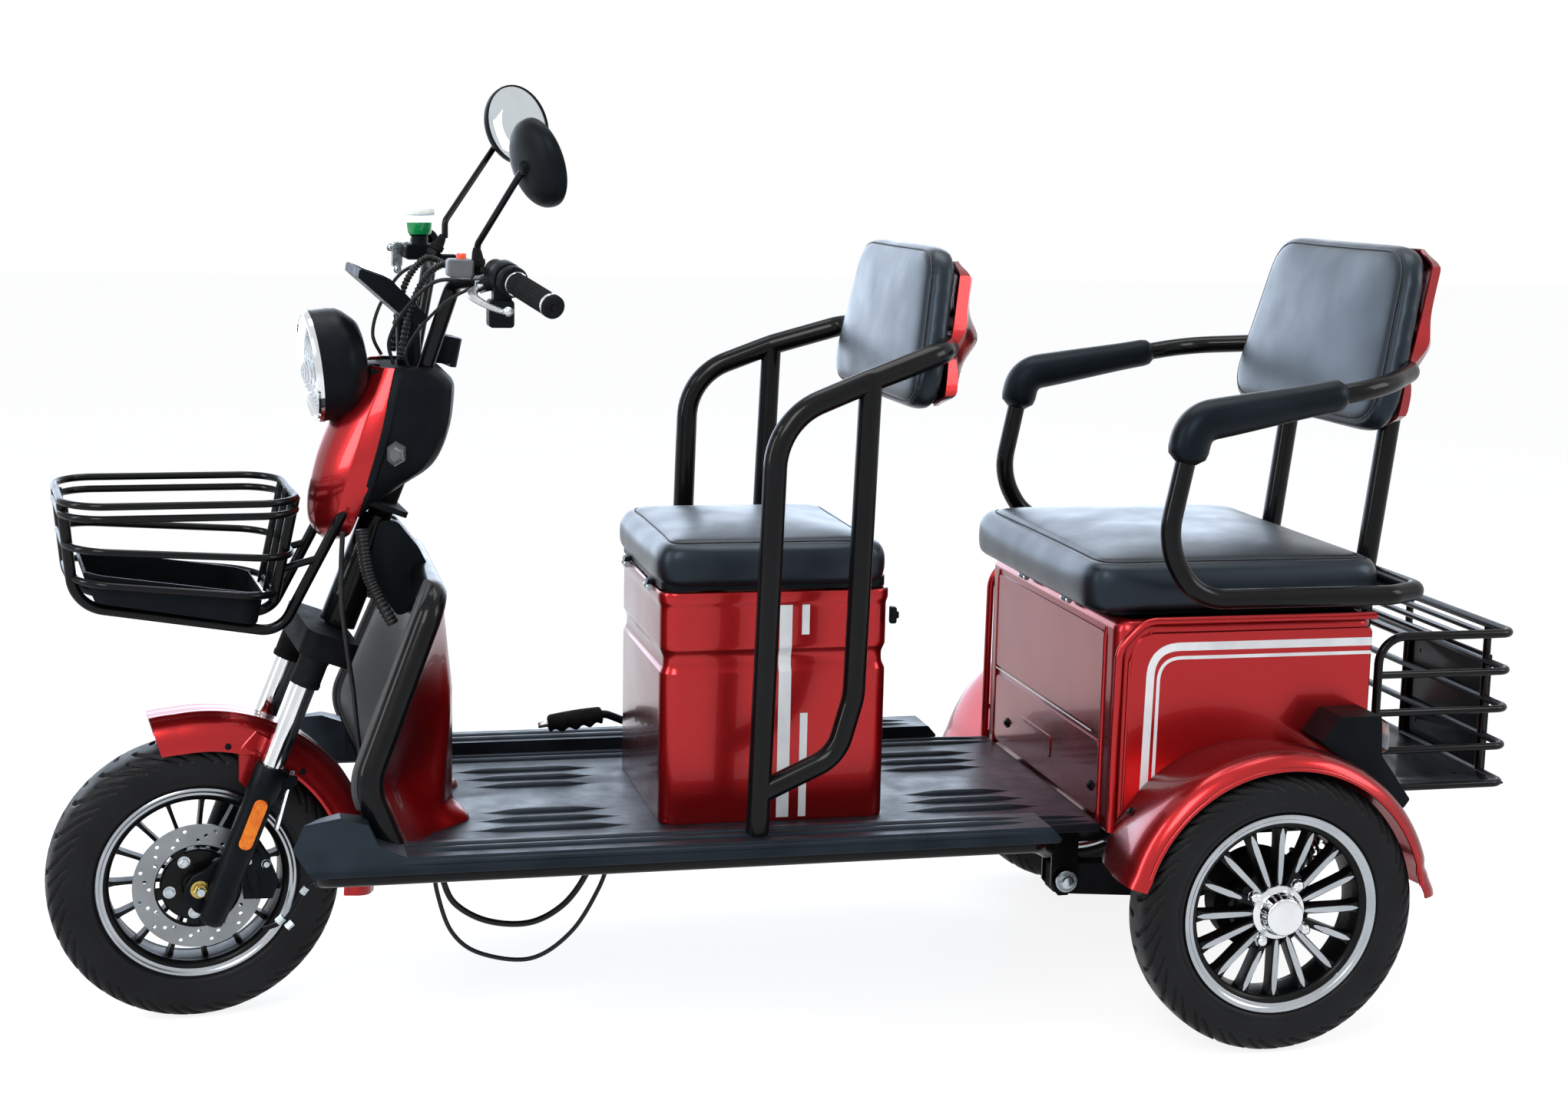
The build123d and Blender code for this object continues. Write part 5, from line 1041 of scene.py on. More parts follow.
# ---------------------------------------------------------------- brake fluid reservoir
# Clear polycarbonate cup filled two thirds with green fluid, with a white screwed lid, on a black bracket. A
# zinc plated clamp with its screws holds it on the bar.
cup_place = Matrix.Translation((1112, -160, 1094)) @ Matrix.Rotation(math.radians(6), 4, "X")
cup = new_shape()
lathe(cup, [(19.2, 15), (20.5, 26), (19.3, 26), (18, 15)], cup_place @ UPRIGHT, 0, 40, closed=True)
lathe(cup, [(0, -2), (14, -2), (17, 1), (19.2, 15.5), (0, 16)], cup_place @ UPRIGHT, 1, 36)
lathe(cup, [(0, 26), (19, 26), (22.6, 26.4), (23, 28), (23, 34), (21.6, 36), (12, 37), (0, 37)],
      cup_place @ UPRIGHT, 2, 44)
lathe(cup, [(11, -26), (12, -4), (15, -2), (0, -2)], cup_place @ UPRIGHT, 3, 28)
slab(cup, rounded_outline(46, 22, 6), -16, 16, Matrix.Translation((1112, -162, 1068)), 3, 2)
slab(cup, rounded_outline(16, 30, 4), -10, 10, Matrix.Translation((1140, -190, 1058)), 4, 2)
slab(cup, rounded_outline(30, 12, 4), -8, 8, Matrix.Translation((1132, -188, 1074)), 4, 2)
for x, z in ((1150, 1072), (1140, 1040), (1128, 1074)):
    bolt(cup, Matrix.Translation((x, -180, z)), 4, 4.5, 8)
# The fluid has a faint green emission though nothing lights it from inside, a painted glow.
glowing_green_fluid = new_material("green brake fluid with painted glow", {"Emission Strength": 0.12, "Roughness": 0.15,
                                                "Emission Color": linear("#0E8A48")})
mottle(glowing_green_fluid, 20, "#076B36", "#0B8042")
white_lid = new_material("white moulded polypropylene", {"Roughness": 0.4})
mottle(white_lid, 15, "#C9CDCB", "#DADDDB")
fit("brake_reservoir_cup", cup, [clear_plastic, glowing_green_fluid, white_lid, black_abs, zinc], "steering",
    ["brake_reservoir"], turned, 38)

# ---------------------------------------------------------------- bar cables
# Corrugated black looms and plain control cables loop from the perches and switches, over the pod, down into
# the housing. All are held by the bar and the housing, so they turn with the steering.
loom_rubber = new_material("black corrugated polyamide loom", {"Specular IOR Level": 0.2})
mottle(loom_rubber, 12, "#08090A", "#0F1012")
vary(loom_rubber, "Roughness", 8, 0.35, 0.5)
looms = new_shape()
for line, waves, size in (([(1098, 66, 1062), (1122, 64, 1072), (1146, 60, 1058), (1164, 54, 1024),
                            (1174, 48, 984), (1180, 44, 940)], 34, 4.6),
                          ([(1098, -58, 1060), (1124, -56, 1068), (1150, -48, 1044), (1166, -40, 1004),
                            (1176, -34, 940)], 30, 4.6)):
    run_along(looms, flowing(line, 26), lambda share: size + 0.9 * math.sin(share * 2 * math.pi * waves),
              sides=12)
for line, size in (([(1112, 122, 1056), (1148, 108, 1052), (1182, 84, 1014), (1200, 62, 968),
                     (1192, 52, 934)], 2.6),
                   ([(1112, -128, 1056), (1150, -112, 1040), (1184, -84, 1000), (1200, -56, 962),
                     (1190, -44, 934)], 2.6),
                   ([(1104, 150, 1050), (1136, 128, 1028), (1166, 92, 986), (1178, 68, 952),
                     (1172, 56, 930)], 2.2)):
    run_along(looms, flowing(line, 10), size, sides=10)
fit("bar_looms", looms, loom_rubber, "steering", at=turned, crease=50)

# ---------------------------------------------------------------- mirrors
# Round mirrors: a satin black moulded shell behind a silvered glass that sits 1 mm inside its rim. Each
# stands on a thin bent steel stalk with a rubber boot and a lock nut on its foot.
MIRRORS = (((1100, 165, 1060), (1103, 165, 1084), (1050, 248, 1218), 16),
           ((1106, -122, 1056), (1083, -122, 1091), (965, -199, 1248), 62))
MIRROR_LIFT = 15
silvered = new_material("silvered mirror glass", {"Metallic": 1.0})
mottle(silvered, 60, "#C4CBD0", "#CCD3D7")
vary(silvered, "Roughness", 60, 0.01, 0.03)
heads = new_shape()
for foot, clamp, head, turn in MIRRORS:
    inward = -1 if head[1] > 0 else 1
    facing = Vector((-math.cos(math.radians(turn)), inward * math.sin(math.radians(turn)),
                     math.tan(math.radians(MIRROR_LIFT)))).normalized()
    joint = Vector(head) - facing * 13
    dish = aimed(joint, joint + facing)
    lathe(heads, flowing([(0, -1.5), (20, -0.8), (36, 2), (50, 8), (57, 15), (59, 22), (59, 25.5),
                          (58, 26.5), (56.6, 25.4)],
                         4), dish, 0, 96)
    lathe(heads, [(56.8, 24.8), (56.2, 25.2), (30, 25.8), (0, 26)], dish, 1, 96)
    lathe(heads, [(0, -8), (7, -7), (9, -3), (10, 1), (0, 1)], dish, 0, 32)
    start = Vector(clamp)
    run_along(heads, bent([start, start + Vector((0, 0, 24)), joint - facing * 1], 14), 4.6, finish=2,
              sides=16)
    boot = aimed(foot, start + Vector((0, 0, 8)))
    lathe(heads, [(0, -2), (11, -2), (11, 8), (9, 10), (8.5, 20), (10, 21), (10, 28), (8, 29), (6.5, 38),
                  (4.6, 44), (0, 44)],
          boot, 3, 28)
    lathe(heads, [(4, 12), (12, 12), (12, 19), (4, 19)], boot, 2, 6)
fit("mirrors_assembled", heads, [black_abs, silvered, powder_coat, moulded_rubber], "steering",
    ["mirrors"], turned, 40)

# ---------------------------------------------------------------- instrument pod
# Wedge of black moulded plastic on a round post. Its dark acrylic display window faces the rider and is
# blank under a clear gloss.
pod = rounded_copy("instrument_pod", 2.2, at=rested)
window = new_material("smoked acrylic window",
                      {"Coat Weight": 1.0, "Coat Roughness": 0.03, "Roughness": 0.2})
mottle(window, 40, "#0A0E12", "#10161B")
skin(pod, [[(1152, y, 1008.5), (1196, y, 1051.7), (1232, y, 1064.4)] for y in (-40, 40)], finish=1)
lathe(pod, [(0, 0), (15, 0), (17, 3), (17, 30), (15.5, 34), (6, 34.5), (6, 32), (0, 32)],
      aimed((1106, -18, 930), (1098, -18, 968)), 0, 36)
fit("instrument_pod_moulded", pod, [black_abs, window], "steering", ["instrument_pod"],
    turned, 30)

# ---------------------------------------------------------------- leg shield
# The tube hoop carries two vacuum formed sheets. The rear one is candy red, with a rolled bead along the
# hoop, a bowl for each shin and two feet on the floor. The front one is dark grey plastic with a folded lip.
HOOP_LINE = ((1196.0, 262.0, 292.0), (1240.0, 266.0, 392.0), (1143.0, 212.0, 632.0))


def soft_step(value):
    value = min(max(value, 0.0), 1.0)
    return value * value * (3 - 2 * value)


hoop_side = bent(HOOP_LINE, 70)


def hoop_at(height):
    """X and Y of the hoop at a height."""
    for low, high in zip(hoop_side, hoop_side[1:]):
        if low.z <= height <= high.z:
            share = (height - low.z) / (high.z - low.z)
            return low.x + (high.x - low.x) * share, low.y + (high.y - low.y) * share
    return hoop_side[-1].x, hoop_side[-1].y


rows = []
for step in range(61):
    height = 292.5 + (606 - 292.5) * step / 60
    edge_x, edge_y = hoop_at(height)
    edge_x, edge_y = edge_x - 9, edge_y - 3 - 16 * soft_step((height - 560) / 46)
    middle_x = min(1108 + max(height - 480, 0) * 0.1, edge_x - 4)
    row = []
    for number in range(81):
        y = edge_y * (number / 40 - 1)
        away = abs(y)
        sweep = soft_step((away - 84) / (edge_y - 84))
        x = middle_x + (edge_x - middle_x) * (0.35 * sweep + 0.65 * max(0.0, (away - 84) / (edge_y - 84)))
        bowl = math.exp(-((away - 172) / 42) ** 2 - ((height - 372) / 62) ** 2)
        ridge = math.exp(-((away - 118 + (height - 372) * 0.12) / 13) ** 2 - ((height - 400) / 90) ** 2)
        foot = soft_step((326 - height) / 34) * math.exp(-((away - 96) / 40) ** 2)
        bead = math.exp(-((edge_y - away - 9) / 5) ** 2)
        row.append((x + 15 * bowl - 7 * ridge - 26 * foot - 5 * bead, y, height))
    rows.append(row)
shield = new_shape()
skin(shield, rows)
shield = thickened(shield, 3.2, 1.0)
fit("leg_shield_rear_formed", shield, candy_red, "frame", ["leg_shield_rear"], crease=40)

grey_sheet = new_material("dark grey grained plastic sheet", {"Specular IOR Level": 0.3})
mottle(grey_sheet, 110, "#26282A", "#303234")
vary(grey_sheet, "Roughness", 30, 0.34, 0.46)
grain(grey_sheet, 1.2, 0.03)
rows = []
for step in range(41):
    height = 297 + (604 - 297) * step / 40
    edge_x, edge_y = hoop_at(height)
    middle_x = min(1152, edge_x + 4)
    row = []
    for number in range(61):
        y = (edge_y - 2) * (number / 30 - 1)
        sweep = soft_step((abs(y) - 104) / (edge_y - 104))
        rib = (4 * math.exp(-((abs(y) - 96) / 9) ** 2) * soft_step((height - 310) / 30)
               * soft_step((596 - height) / 30))
        row.append((middle_x + (edge_x + 12 - middle_x) * sweep + rib, y, height))
    rows.append(row)
front_sheet = new_shape()
skin(front_sheet, rows)
front_sheet = thickened(front_sheet, 3, 1.0)
for side in (-1, 1):
    lip = [Vector((point.x + 17, side * (point.y + 2), point.z)) for point in hoop_side if point.z > 300]
    lip.append(Vector((1150, side * 196, 650)))
    run_along(front_sheet, lip, 8.5, sides=18, flat=0.8)
fit("leg_shield_front_formed", front_sheet, grey_sheet, "frame", ["leg_shield_front"],
    crease=40)
neck = rounded_copy("neck_cover", 7.0, segments=4)
fit("neck_cover_moulded", neck, black_abs, "frame", ["neck_cover"], crease=35)

# ---------------------------------------------------------------- floor
# Compression moulded plastic floor with groups of raised ribs that taper at both ends, between two raised
# running boards that end in a wedge ahead of the hoop's feet. It is dark, with a slow mottle in its colour
# and its gloss.
# Its specular tint colours its reflections pale blue like a sky, a painted reflection colour.
floor_plastic = new_material("worn charcoal moulded floor plastic",
                             {"Specular IOR Level": 0.22, "Specular Tint": linear("#A9C8E2")})
mottle(floor_plastic, 70, "#101317", "#191D22")
vary(floor_plastic, "Roughness", 45, 0.34, 0.52)
grain(floor_plastic, 1.6, 0.06)
deck = rounded_copy("floor_board", 1.5)


def rib(shape, start, end, y, width, height, base, taper=60.0):
    """Raised rib along X whose ends taper to nothing."""
    rows = []
    for step in range(25):
        share = step / 24
        x = start + (end - start) * share
        grow = soft_step(min(x - start, end - x) / taper)
        half = width / 2 * (0.25 + 0.75 * grow)
        rows.append([(x, y + half * math.cos(math.pi * i / 8),
                      base - 0.6 + (height * grow + 0.7) * math.sin(math.pi * i / 8))
                     for i in range(9)])
    skin(shape, rows)


for start, end in ((865, 1080), (255, 458)):
    for y in (70, 112, 158):
        for side in (-1, 1):
            rib(deck, start + (158 - y) * 0.15, end + (y - 112) * 0.25, side * y, 20, 5.5, 292)
for side in (-1, 1):
    rib(deck, 210, 1185, side * 222, 16, 4.5, 292)
    rib(deck, 210, 1185, side * 246, 12, 4.5, 292)
fit("floor_board_ribbed", deck, floor_plastic, "frame", ["floor_board"], crease=40)

boards = rounded_copy("running_boards", 5.0, segments=4)
for side in (-1, 1):
    rib(boards, 330, 1192, side * 281, 17, 4.0, 312)
    rib(boards, 330, 1192, side * 303, 15, 4.0, 312)
    rib(boards, 310, 1230, side * 333.5, 12, 5.0, 304)
fit("running_boards_ribbed", boards, floor_plastic, "frame", ["running_boards"], crease=40)

# ---------------------------------------------------------------- middle box
# Steel sheet box, folded and lacquered candy red, with a pressed waist and a rim that stands out under the
# seat. White vinyl stripes run up each side, and a black latch holds the seat down at the back.


def box_shell(shape, x_low, x_high, half, levels, corner, finish=0, steps=8):
    """Box wall with round corners, from (height, how far it stands out) pairs."""
    rows = []
    for height, out in levels:
        outline = rounded_outline(x_high - x_low + 2 * out, 2 * (half + out), max(corner + out, 2), steps)
        rows.append([((x_low + x_high) / 2 + x, y, height) for x, y in outline])
    skin(shape, rows, finish=finish, closed=True)


white_vinyl = new_material("white printed vinyl stripe", {"Coat Weight": 0.6, "Coat Roughness": 0.1})
mottle(white_vinyl, 50, "#C6CACD", "#D6D9DB")
vary(white_vinyl, "Roughness", 30, 0.3, 0.42)
box = new_shape()
levels = flowing([(293, -1.5), (296, 0), (330, 0), (420, 0), (500, 0.3), (508, -0.6), (516, -4.2),
                  (524, -5), (532, -4.6),
                  (541, -0.8), (548, 0), (590, 0), (602, 0.2), (607, 1.8), (611, 2.6), (619, 2.6),
                  (623, 1.6), (624, -0.6)], 2)
box_shell(box, 500, 827, 173, levels, 25)
box_shell(box, 500, 827, 173, [(624, -0.6), (622, -3.4), (556, -4), (544, -9), (504, -9), (492, -4),
                               (296, -4), (295.5, -60)], 25)
add(box, [(504, -169, 296), (823, -169, 296), (823, 169, 296), (504, 169, 296)], [(0, 1, 2, 3)])


def wall_out(height):
    for (low, out), (high, next_out) in zip(levels, levels[1:]):
        if low <= height <= high:
            return out + (next_out - out) * (height - low) / (high - low)
    return 0.0


for side in (-1, 1):
    for x_low, x_high, spans in ((642, 660, ((297, 604),)), (617, 628, ((297, 448), (561, 604)))):
        for low, high in spans:
            heights = sorted({low, high, *(height for height, _ in levels if low < height < high)})
            skin(box, [[(x, side * (173.6 + wall_out(height)),
                         height) for height in heights] for x in (x_low, x_high)],
                 finish=1)
latch = Matrix.Translation((498, 168, 585)) @ SIDEWAYS
slab(box, rounded_outline(14, 24, 3), 0, 8, latch, 2, 1.5)
slab(box, rounded_outline(8, 10, 2), 7, 12, latch, 2, 1)
for y in (-95, 95):
    for sign in (-1, 1):
        lathe(box, [(0, 0), (4.5, 0), (4.5, 5.5), (0, 5.5)],
              Matrix.Translation((834, y + sign * 12 - 2.7, 621)), 3, 20)
        slab(box, [(826, 617), (834, 617), (834, 622), (826, 622)], -2.7, 2.7,
             Matrix.Translation((0, y + sign * 12, 0)), 3, 0.4)
    lathe(box, [(0, -16), (2.2, -16), (2.2, 16), (0, 16)], Matrix.Translation((834, y, 621)), 3, 16)
fit("middle_box_folded", box, [candy_red, white_vinyl, black_abs, zinc], "frame",
    ["middle_box"], crease=50)

# ---------------------------------------------------------------- rear box
# Bigger box of the same make. Its sides carry a raised panel with a bent white stripe pair, the front has a
# rounded frame at each edge and a lower hatch that is screwed on below a thin white strip, a painted
# highlight where the gap between the panels catches light.
body = new_shape()
levels = [(281, -1.5), (284, 0), (574, 0), (581, -1.5), (587, -5), (590, -10), (591, -14)]
box_shell(body, -195, 198, 285, levels, 25)
box_shell(body, -195, 198, 285, [(591, -14), (588, -16), (560, -5), (284, -4), (283.5, -80)], 25)
add(body, [(-191, -281, 284), (194, -281, 284), (194, 281, 284), (-191, 281, 284)], [(0, 1, 2, 3)])


def strip_along(shape, line, width, lift, y, side, finish=0):
    """Flat strip that lies on a side wall along an (x, z) line."""
    line = [Vector((x, 0, z)) for x, z in line]
    rows = [[], []]
    for index, point in enumerate(line):
        ahead = line[min(index + 1, len(line) - 1)] - line[max(index - 1, 0)]
        off = Vector((-ahead.z, 0, ahead.x)).normalized() * (width / 2)
        rows[0].append(point + off + Vector((0, side * (y + lift), 0)))
        rows[1].append(point - off + Vector((0, side * (y + lift), 0)))
    skin(shape, rows, finish=finish)


for side in (-1, 1):
    line = [(point.x, point.z) for point in bent([(205, 0, 286), (204, 0, 450), (203, 0, 552),
                                                  (165, 0, 590), (-188, 0, 590)], 46, steps=10)]
    run_along(body, [(x - 6, side * 285.5, z) for x, z in line], 6, sides=14, flat=0.75)
    run_along(body, [(x - 24, side * 284, z - (8 if index > 12 else 0)) for index, (x, z) in enumerate(line)
                     if z - 8 < 574], 3.2, sides=10)
    panel = [(184, 284), (181, 450), (178, 548), (170, 566), (152, 574), (-186, 574), (-190, 568),
             (-190, 284)]
    flip = Matrix.Scale(side, 4, (0, 1, 0))
    panel = [(point.x, point.z) for point in bent([(x, 0, z) for x, z in panel], 24, True, 5)]
    slab(body, panel, 284, 288.4, flip, 0, 3.0)
    wide = [(point.x, point.z) for point in bent([(153, 0, 300), (149, 0, 553), (-188, 0, 553)], 44,
                                                 steps=12)]
    narrow = [(point.x, point.z) for point in bent([(139, 0, 300), (137, 0, 537), (-188, 0, 537)], 34,
                                                   steps=12)]
    strip_along(body, wide, 12, 0.25, 288.4, side, 1)
    strip_along(body, narrow, 5, 0.25, 288.4, side, 1)
front_face = Matrix.Translation((198, 0, 0)) @ Matrix.Rotation(math.radians(-90), 4, "Z")
slab(body, rounded_outline(2 * 236, 150, 10), -1, 2.4, front_face @ Matrix.Translation((0, 0, 492)), 0, 1.6)
slab(body, rounded_outline(2 * 232, 108, 12), -1, 2.2, front_face @ Matrix.Translation((0, 0, 350)), 0, 1.6)
# Painted highlight: a thin white strip in the gap between the front panels, where its edge catches light.
skin(body, [[(200.7, y, z) for y in (-236, 200)] for z in (412.2, 414.4)], finish=1)
for y in (-236, 236):
    run_along(body, [(198, y, 286), (198, y, 300), (198, y, 560), (196, y, 574)], 4, sides=10)
slab(body, rounded_outline(150, 34, 8), 2, 3.6, front_face @ Matrix.Translation((40, 0, 346)), 0, 1)
for y, z in ((-167, 336), (208, 334)):
    spot = front_face @ Matrix.Translation((-y, 2.2, z))
    lathe(body, [(8, 0), (7.5, 2.4), (4, 3), (0, 3)], spot, 2, 28)
    bolt(body, spot @ Matrix.Translation((0, 2, 0)), 2, 4, 4)
for y in (-95, 95):
    for sign in (-1, 1):
        lathe(body, [(0, 0), (4.5, 0), (4.5, 5.5), (0, 5.5)],
              Matrix.Translation((208, y + sign * 12 - 2.7, 588)), 3, 20)
    lathe(body, [(0, -16), (2.2, -16), (2.2, 16), (0, 16)], Matrix.Translation((208, y, 588)), 3, 16)
fit("rear_box_folded", body, [candy_red, white_vinyl, black_abs, zinc], "frame", ["rear_box"],
    crease=35)

# ---------------------------------------------------------------- seat cushions
# Foam in black grained vinyl: a flat top panel is sewn to a deep border that is pulled down over the pan, so
# the top crowns a little and its seam stands just under the edge. Blown up as cloth from a smaller form.
# Its specular and coat tints colour its reflections pale blue like a sky, a painted reflection colour.
vinyl = new_material("black grained upholstery vinyl",
                     {"Specular IOR Level": 0.4, "Specular Tint": linear("#A9C8E2"), "Coat Weight": 0.15,
                      "Coat Roughness": 0.28, "Coat Tint": linear("#DCE8F2")})
mottle(vinyl, 90, "#090B0E", "#0F1216")
vary(vinyl, "Roughness", 70, 0.34, 0.46)
hide = add_node(vinyl, "TexVoronoi", {"Scale": 620.0},
                {"Vector": add_node(vinyl, "TexCoord").outputs["Object"]})
join_shader(vinyl, "Normal", add_node(vinyl, "Bump", {"Strength": 0.35, "Distance": 0.0003},
                                      {"Height": hide.outputs["Distance"]}).outputs["Normal"])
MOST_SWELL = 0.022
SEAM_CELL = 16
thread = new_material("black bonded polyester thread", {"Roughness": 0.6})
mottle(thread, 3, "#1B1D20", "#2A2D31")


def puffed(shape, pressure, voxel=6.0):
    """Remeshes a closed form and lets cloth fill out under pressure while its base is held."""
    form = worked(shape, REMESH={"mode": "VOXEL", "voxel_size": voxel, "use_smooth_shade": True})
    form.transform(Matrix.Scale(0.001, 4))
    holder = bpy.data.objects.new("cloth_form", form)
    bpy.context.scene.collection.objects.link(holder)
    low = min(vertex.co.z for vertex in form.vertices)
    held = holder.vertex_groups.new(name="held")
    held.add([vertex.index for vertex in form.vertices if vertex.co.z < low + 0.012], 1.0, "REPLACE")
    before = [vertex.co.copy() for vertex in form.vertices]
    cloth = holder.modifiers.new("cloth", "CLOTH")
    cloth.settings.use_pressure, cloth.settings.uniform_pressure_force = True, pressure
    cloth.settings.effector_weights.gravity = 0
    cloth.settings.vertex_group_mass = "held"
    cloth.settings.quality = 5
    cloth.settings.tension_stiffness, cloth.settings.compression_stiffness = 60, 60
    cloth.settings.bending_stiffness = 30
    cloth.point_cache.frame_start, cloth.point_cache.frame_end = 1, 20
    for moment in range(1, 21):
        bpy.context.scene.frame_set(moment)
    blown = bpy.data.meshes.new_from_object(holder.evaluated_get(bpy.context.evaluated_depsgraph_get()))
    bpy.context.scene.frame_set(1)
    bpy.data.objects.remove(holder)
    for vertex, old in zip(blown.vertices, before):
        move = vertex.co - old
        if move.length > MOST_SWELL:
            vertex.co = old + move.normalized() * MOST_SWELL
    blown.transform(Matrix.Scale(1000, 4))
    return worked(blown, SMOOTH={"factor": 0.5, "iterations": 45})


def pad_form(width, depth, low, high, corner, edge, shrink):
    """Closed cushion form about the origin, a little smaller than it ends up."""
    levels = [(low, -edge * 0.4), (low + edge * 0.3, 0), ((low + high) / 2, 1), (high - edge, 0),
              (high - edge * 0.55, -edge * 0.18), (high - edge * 0.2, -edge * 0.55), (high, -edge * 1.2)]
    rows = [[(x, y, height) for x, y in rounded_outline(width - shrink + 2 * out, depth - shrink + 2 * out,
                                                        max(corner + out, 4), 8)] for height, out in levels]
    form = new_shape()
    skin(form, rows, closed=True)
    for row in (rows[0][::-1], rows[-1]):
        add(form, row, [tuple(range(len(row)))])
    return form


def sewn(shape, mesh, seam, groove=2.2, reach=5.0, at=Matrix()):
    """Adds a cushion to a shape, pinched in along a seam line, and gives back the line where its thread lies.
    """
    tree = BVHTree.FromPolygons([v.co for v in mesh.vertices], [tuple(f.vertices) for f in mesh.polygons])
    laid = []
    for point, toward in seam:
        hit, normal, _, _ = tree.ray_cast(Vector(point) - Vector(toward) * 200, Vector(toward))
        if hit:
            laid.append((hit, normal))
    cells = {}
    for index, (point, normal) in enumerate(laid):
        cells.setdefault(tuple(int(value // SEAM_CELL) for value in point), []).append(index)
    for vertex in mesh.vertices:
        home = tuple(int(value // SEAM_CELL) for value in vertex.co)
        best, place = 99.0, None
        for dx in (-1, 0, 1):
            for dy in (-1, 0, 1):
                for dz in (-1, 0, 1):
                    for index in cells.get((home[0] + dx, home[1] + dy, home[2] + dz), ()):
                        gap = (laid[index][0] - vertex.co).length
                        if gap < best:
                            best, place = gap, laid[index][1]
        if place is not None and best < reach * 2.4:
            vertex.co -= place * groove * math.exp(-(best / reach) ** 2)
    join_mesh(shape, worked(mesh, DECIMATE={"ratio": 0.5}), at)
    return [point - normal * (groove - 0.9) for point, normal in laid]


def cushion(name, node, body, centre, width, depth, low, high, corner, seam_height):
    """Sewn seat cushion in place of a CAD one."""
    form = pad_form(width, depth, low, high, corner, 20, 10)
    mesh = puffed(form, 1.6)
    top = max(vertex.co.z for vertex in mesh.vertices)
    for vertex in mesh.vertices:
        share = (vertex.co.z - low) / (top - low)
        vertex.co.z = low + share * (high - low)
    wide, deep = (max(abs(vertex.co[axis]) for vertex in mesh.vertices) for axis in (0, 1))
    for vertex in mesh.vertices:
        vertex.co.x *= width / 2 / wide
        vertex.co.y *= depth / 2 / deep
    mesh = worked(mesh, SUBSURF={"levels": 1, "render_levels": 1})
    outline = rounded_outline(width, depth, corner, 14)
    seam = []
    for index, (x, y) in enumerate(outline):
        next_x, next_y = outline[(index + 1) % len(outline)]
        count = max(1, int(math.hypot(next_x - x, next_y - y) / 5))
        for step in range(count):
            px, py = x + (next_x - x) * step / count, y + (next_y - y) * step / count
            toward = Vector((-px / width, -py / depth, 0))
            if abs(px) < width / 2 - corner:
                toward = Vector((0, -math.copysign(1, py), 0))
            elif abs(py) < depth / 2 - corner:
                toward = Vector((-math.copysign(1, px), 0, 0))
            else:
                hub = Vector((math.copysign(width / 2 - corner, px), math.copysign(depth / 2 - corner, py),
                              0))
                toward = (hub - Vector((px, py, 0))).normalized()
            seam.append(((px, py, seam_height), toward))
    shape = new_shape()
    thread_line = sewn(shape, mesh, seam)
    run_along(shape, thread_line, 0.9, finish=1, sides=6, closed=True)
    return fit(name, shape, [vinyl, thread], body, [node],
               standing @ Matrix.Translation((centre, 0, 0)), 60)


cushion("middle_cushion_sewn", "middle_cushion", "middle_seat", 669, 334, 378, 630, 709, 34, 694)
cushion("rear_cushion_sewn", "rear_cushion", "rear_seat", 10.5, 456, 552, 597, 688, 40, 670)

# ---------------------------------------------------------------- backrests
# Padded boards in the same vinyl on candy red moulded shells. The front panel is a little domed, and the
# shell behind has a raised ridge, two flutes and an open notch for each arm tube.


def backrest(name, node, x_low, x_high, z_low, z_high, half_low, half_high, corner, thickness):
    height = math.hypot(z_high - z_low, x_high - x_low)
    lean = Vector((x_high - x_low, 0, z_high - z_low)).normalized()
    facing = Vector((lean.z, 0, -lean.x))
    place = Matrix.Translation((x_low, 0, z_low)) @ Matrix((Vector((0, 1, 0)), lean,
                                                            facing)).transposed().to_4x4()
    outline = bent([(-half_low, 0, 0), (half_low, 0, 0), (half_high, height, 0), (-half_high, height, 0)],
                   corner, True, 10)
    middle = Vector((0, height / 2, 0))
    edge = 20.0
    form = new_shape()
    rows = []
    for z, out in ((-thickness, -8), (-thickness + 6, -3), (-thickness / 2, -2), (-edge, -3),
                   (-edge * 0.55, -6), (-edge * 0.2, -12), (0, -22)):
        row = []
        for point in outline:
            away = point - middle
            row.append(tuple(point + away.normalized() * out) [:2] + (z,))
        rows.append(row)
    skin(form, rows, closed=True)
    for row in (rows[0][::-1], rows[-1]):
        add(form, row, [tuple(range(len(row)))])
    mesh = puffed(form, 1.4)
    low = -thickness
    top = max(vertex.co.z for vertex in mesh.vertices)
    wide = max(abs(vertex.co.x) for vertex in mesh.vertices)
    tall_low, tall_high = min(v.co.y for v in mesh.vertices), max(v.co.y for v in mesh.vertices)
    for vertex in mesh.vertices:
        vertex.co.z = low + (vertex.co.z - low) / (top - low) * (-low + 1)
        vertex.co.x *= (half_low + 2) / wide
        vertex.co.y = -2 + (vertex.co.y - tall_low) / (tall_high - tall_low) * (height + 4)
    mesh = worked(mesh, SUBSURF={"levels": 1, "render_levels": 1})
    seam = []
    closed = outline + [outline[0]]
    for first, second in zip(closed, closed[1:]):
        count = max(1, int((second - first).length / 5))
        for step in range(count):
            point = first + (second - first) * step / count
            toward = (middle - point).normalized()
            run = second - first
            if run.length > 0.01:
                inward = Vector((-run.y, run.x, 0)).normalized()
                toward = inward if inward.dot(middle - point) > 0 else -inward
            seam.append(((point.x, point.y, -15.0), toward))
    shape = new_shape()
    thread_line = sewn(shape, mesh, seam, 1.6, 4.5)
    run_along(shape, thread_line, 0.9, finish=1, sides=6, closed=True)
    return fit(name, shape, [vinyl, thread], "frame", [node], standing @ place, 60)


backrest("middle_backrest_sewn", "middle_backrest_pad", 504, 468, 886, 1106, 226, 176, 56, 52)
backrest("rear_backrest_sewn", "rear_backrest_pad", -172, -233, 856, 1118, 250, 212, 64, 52)


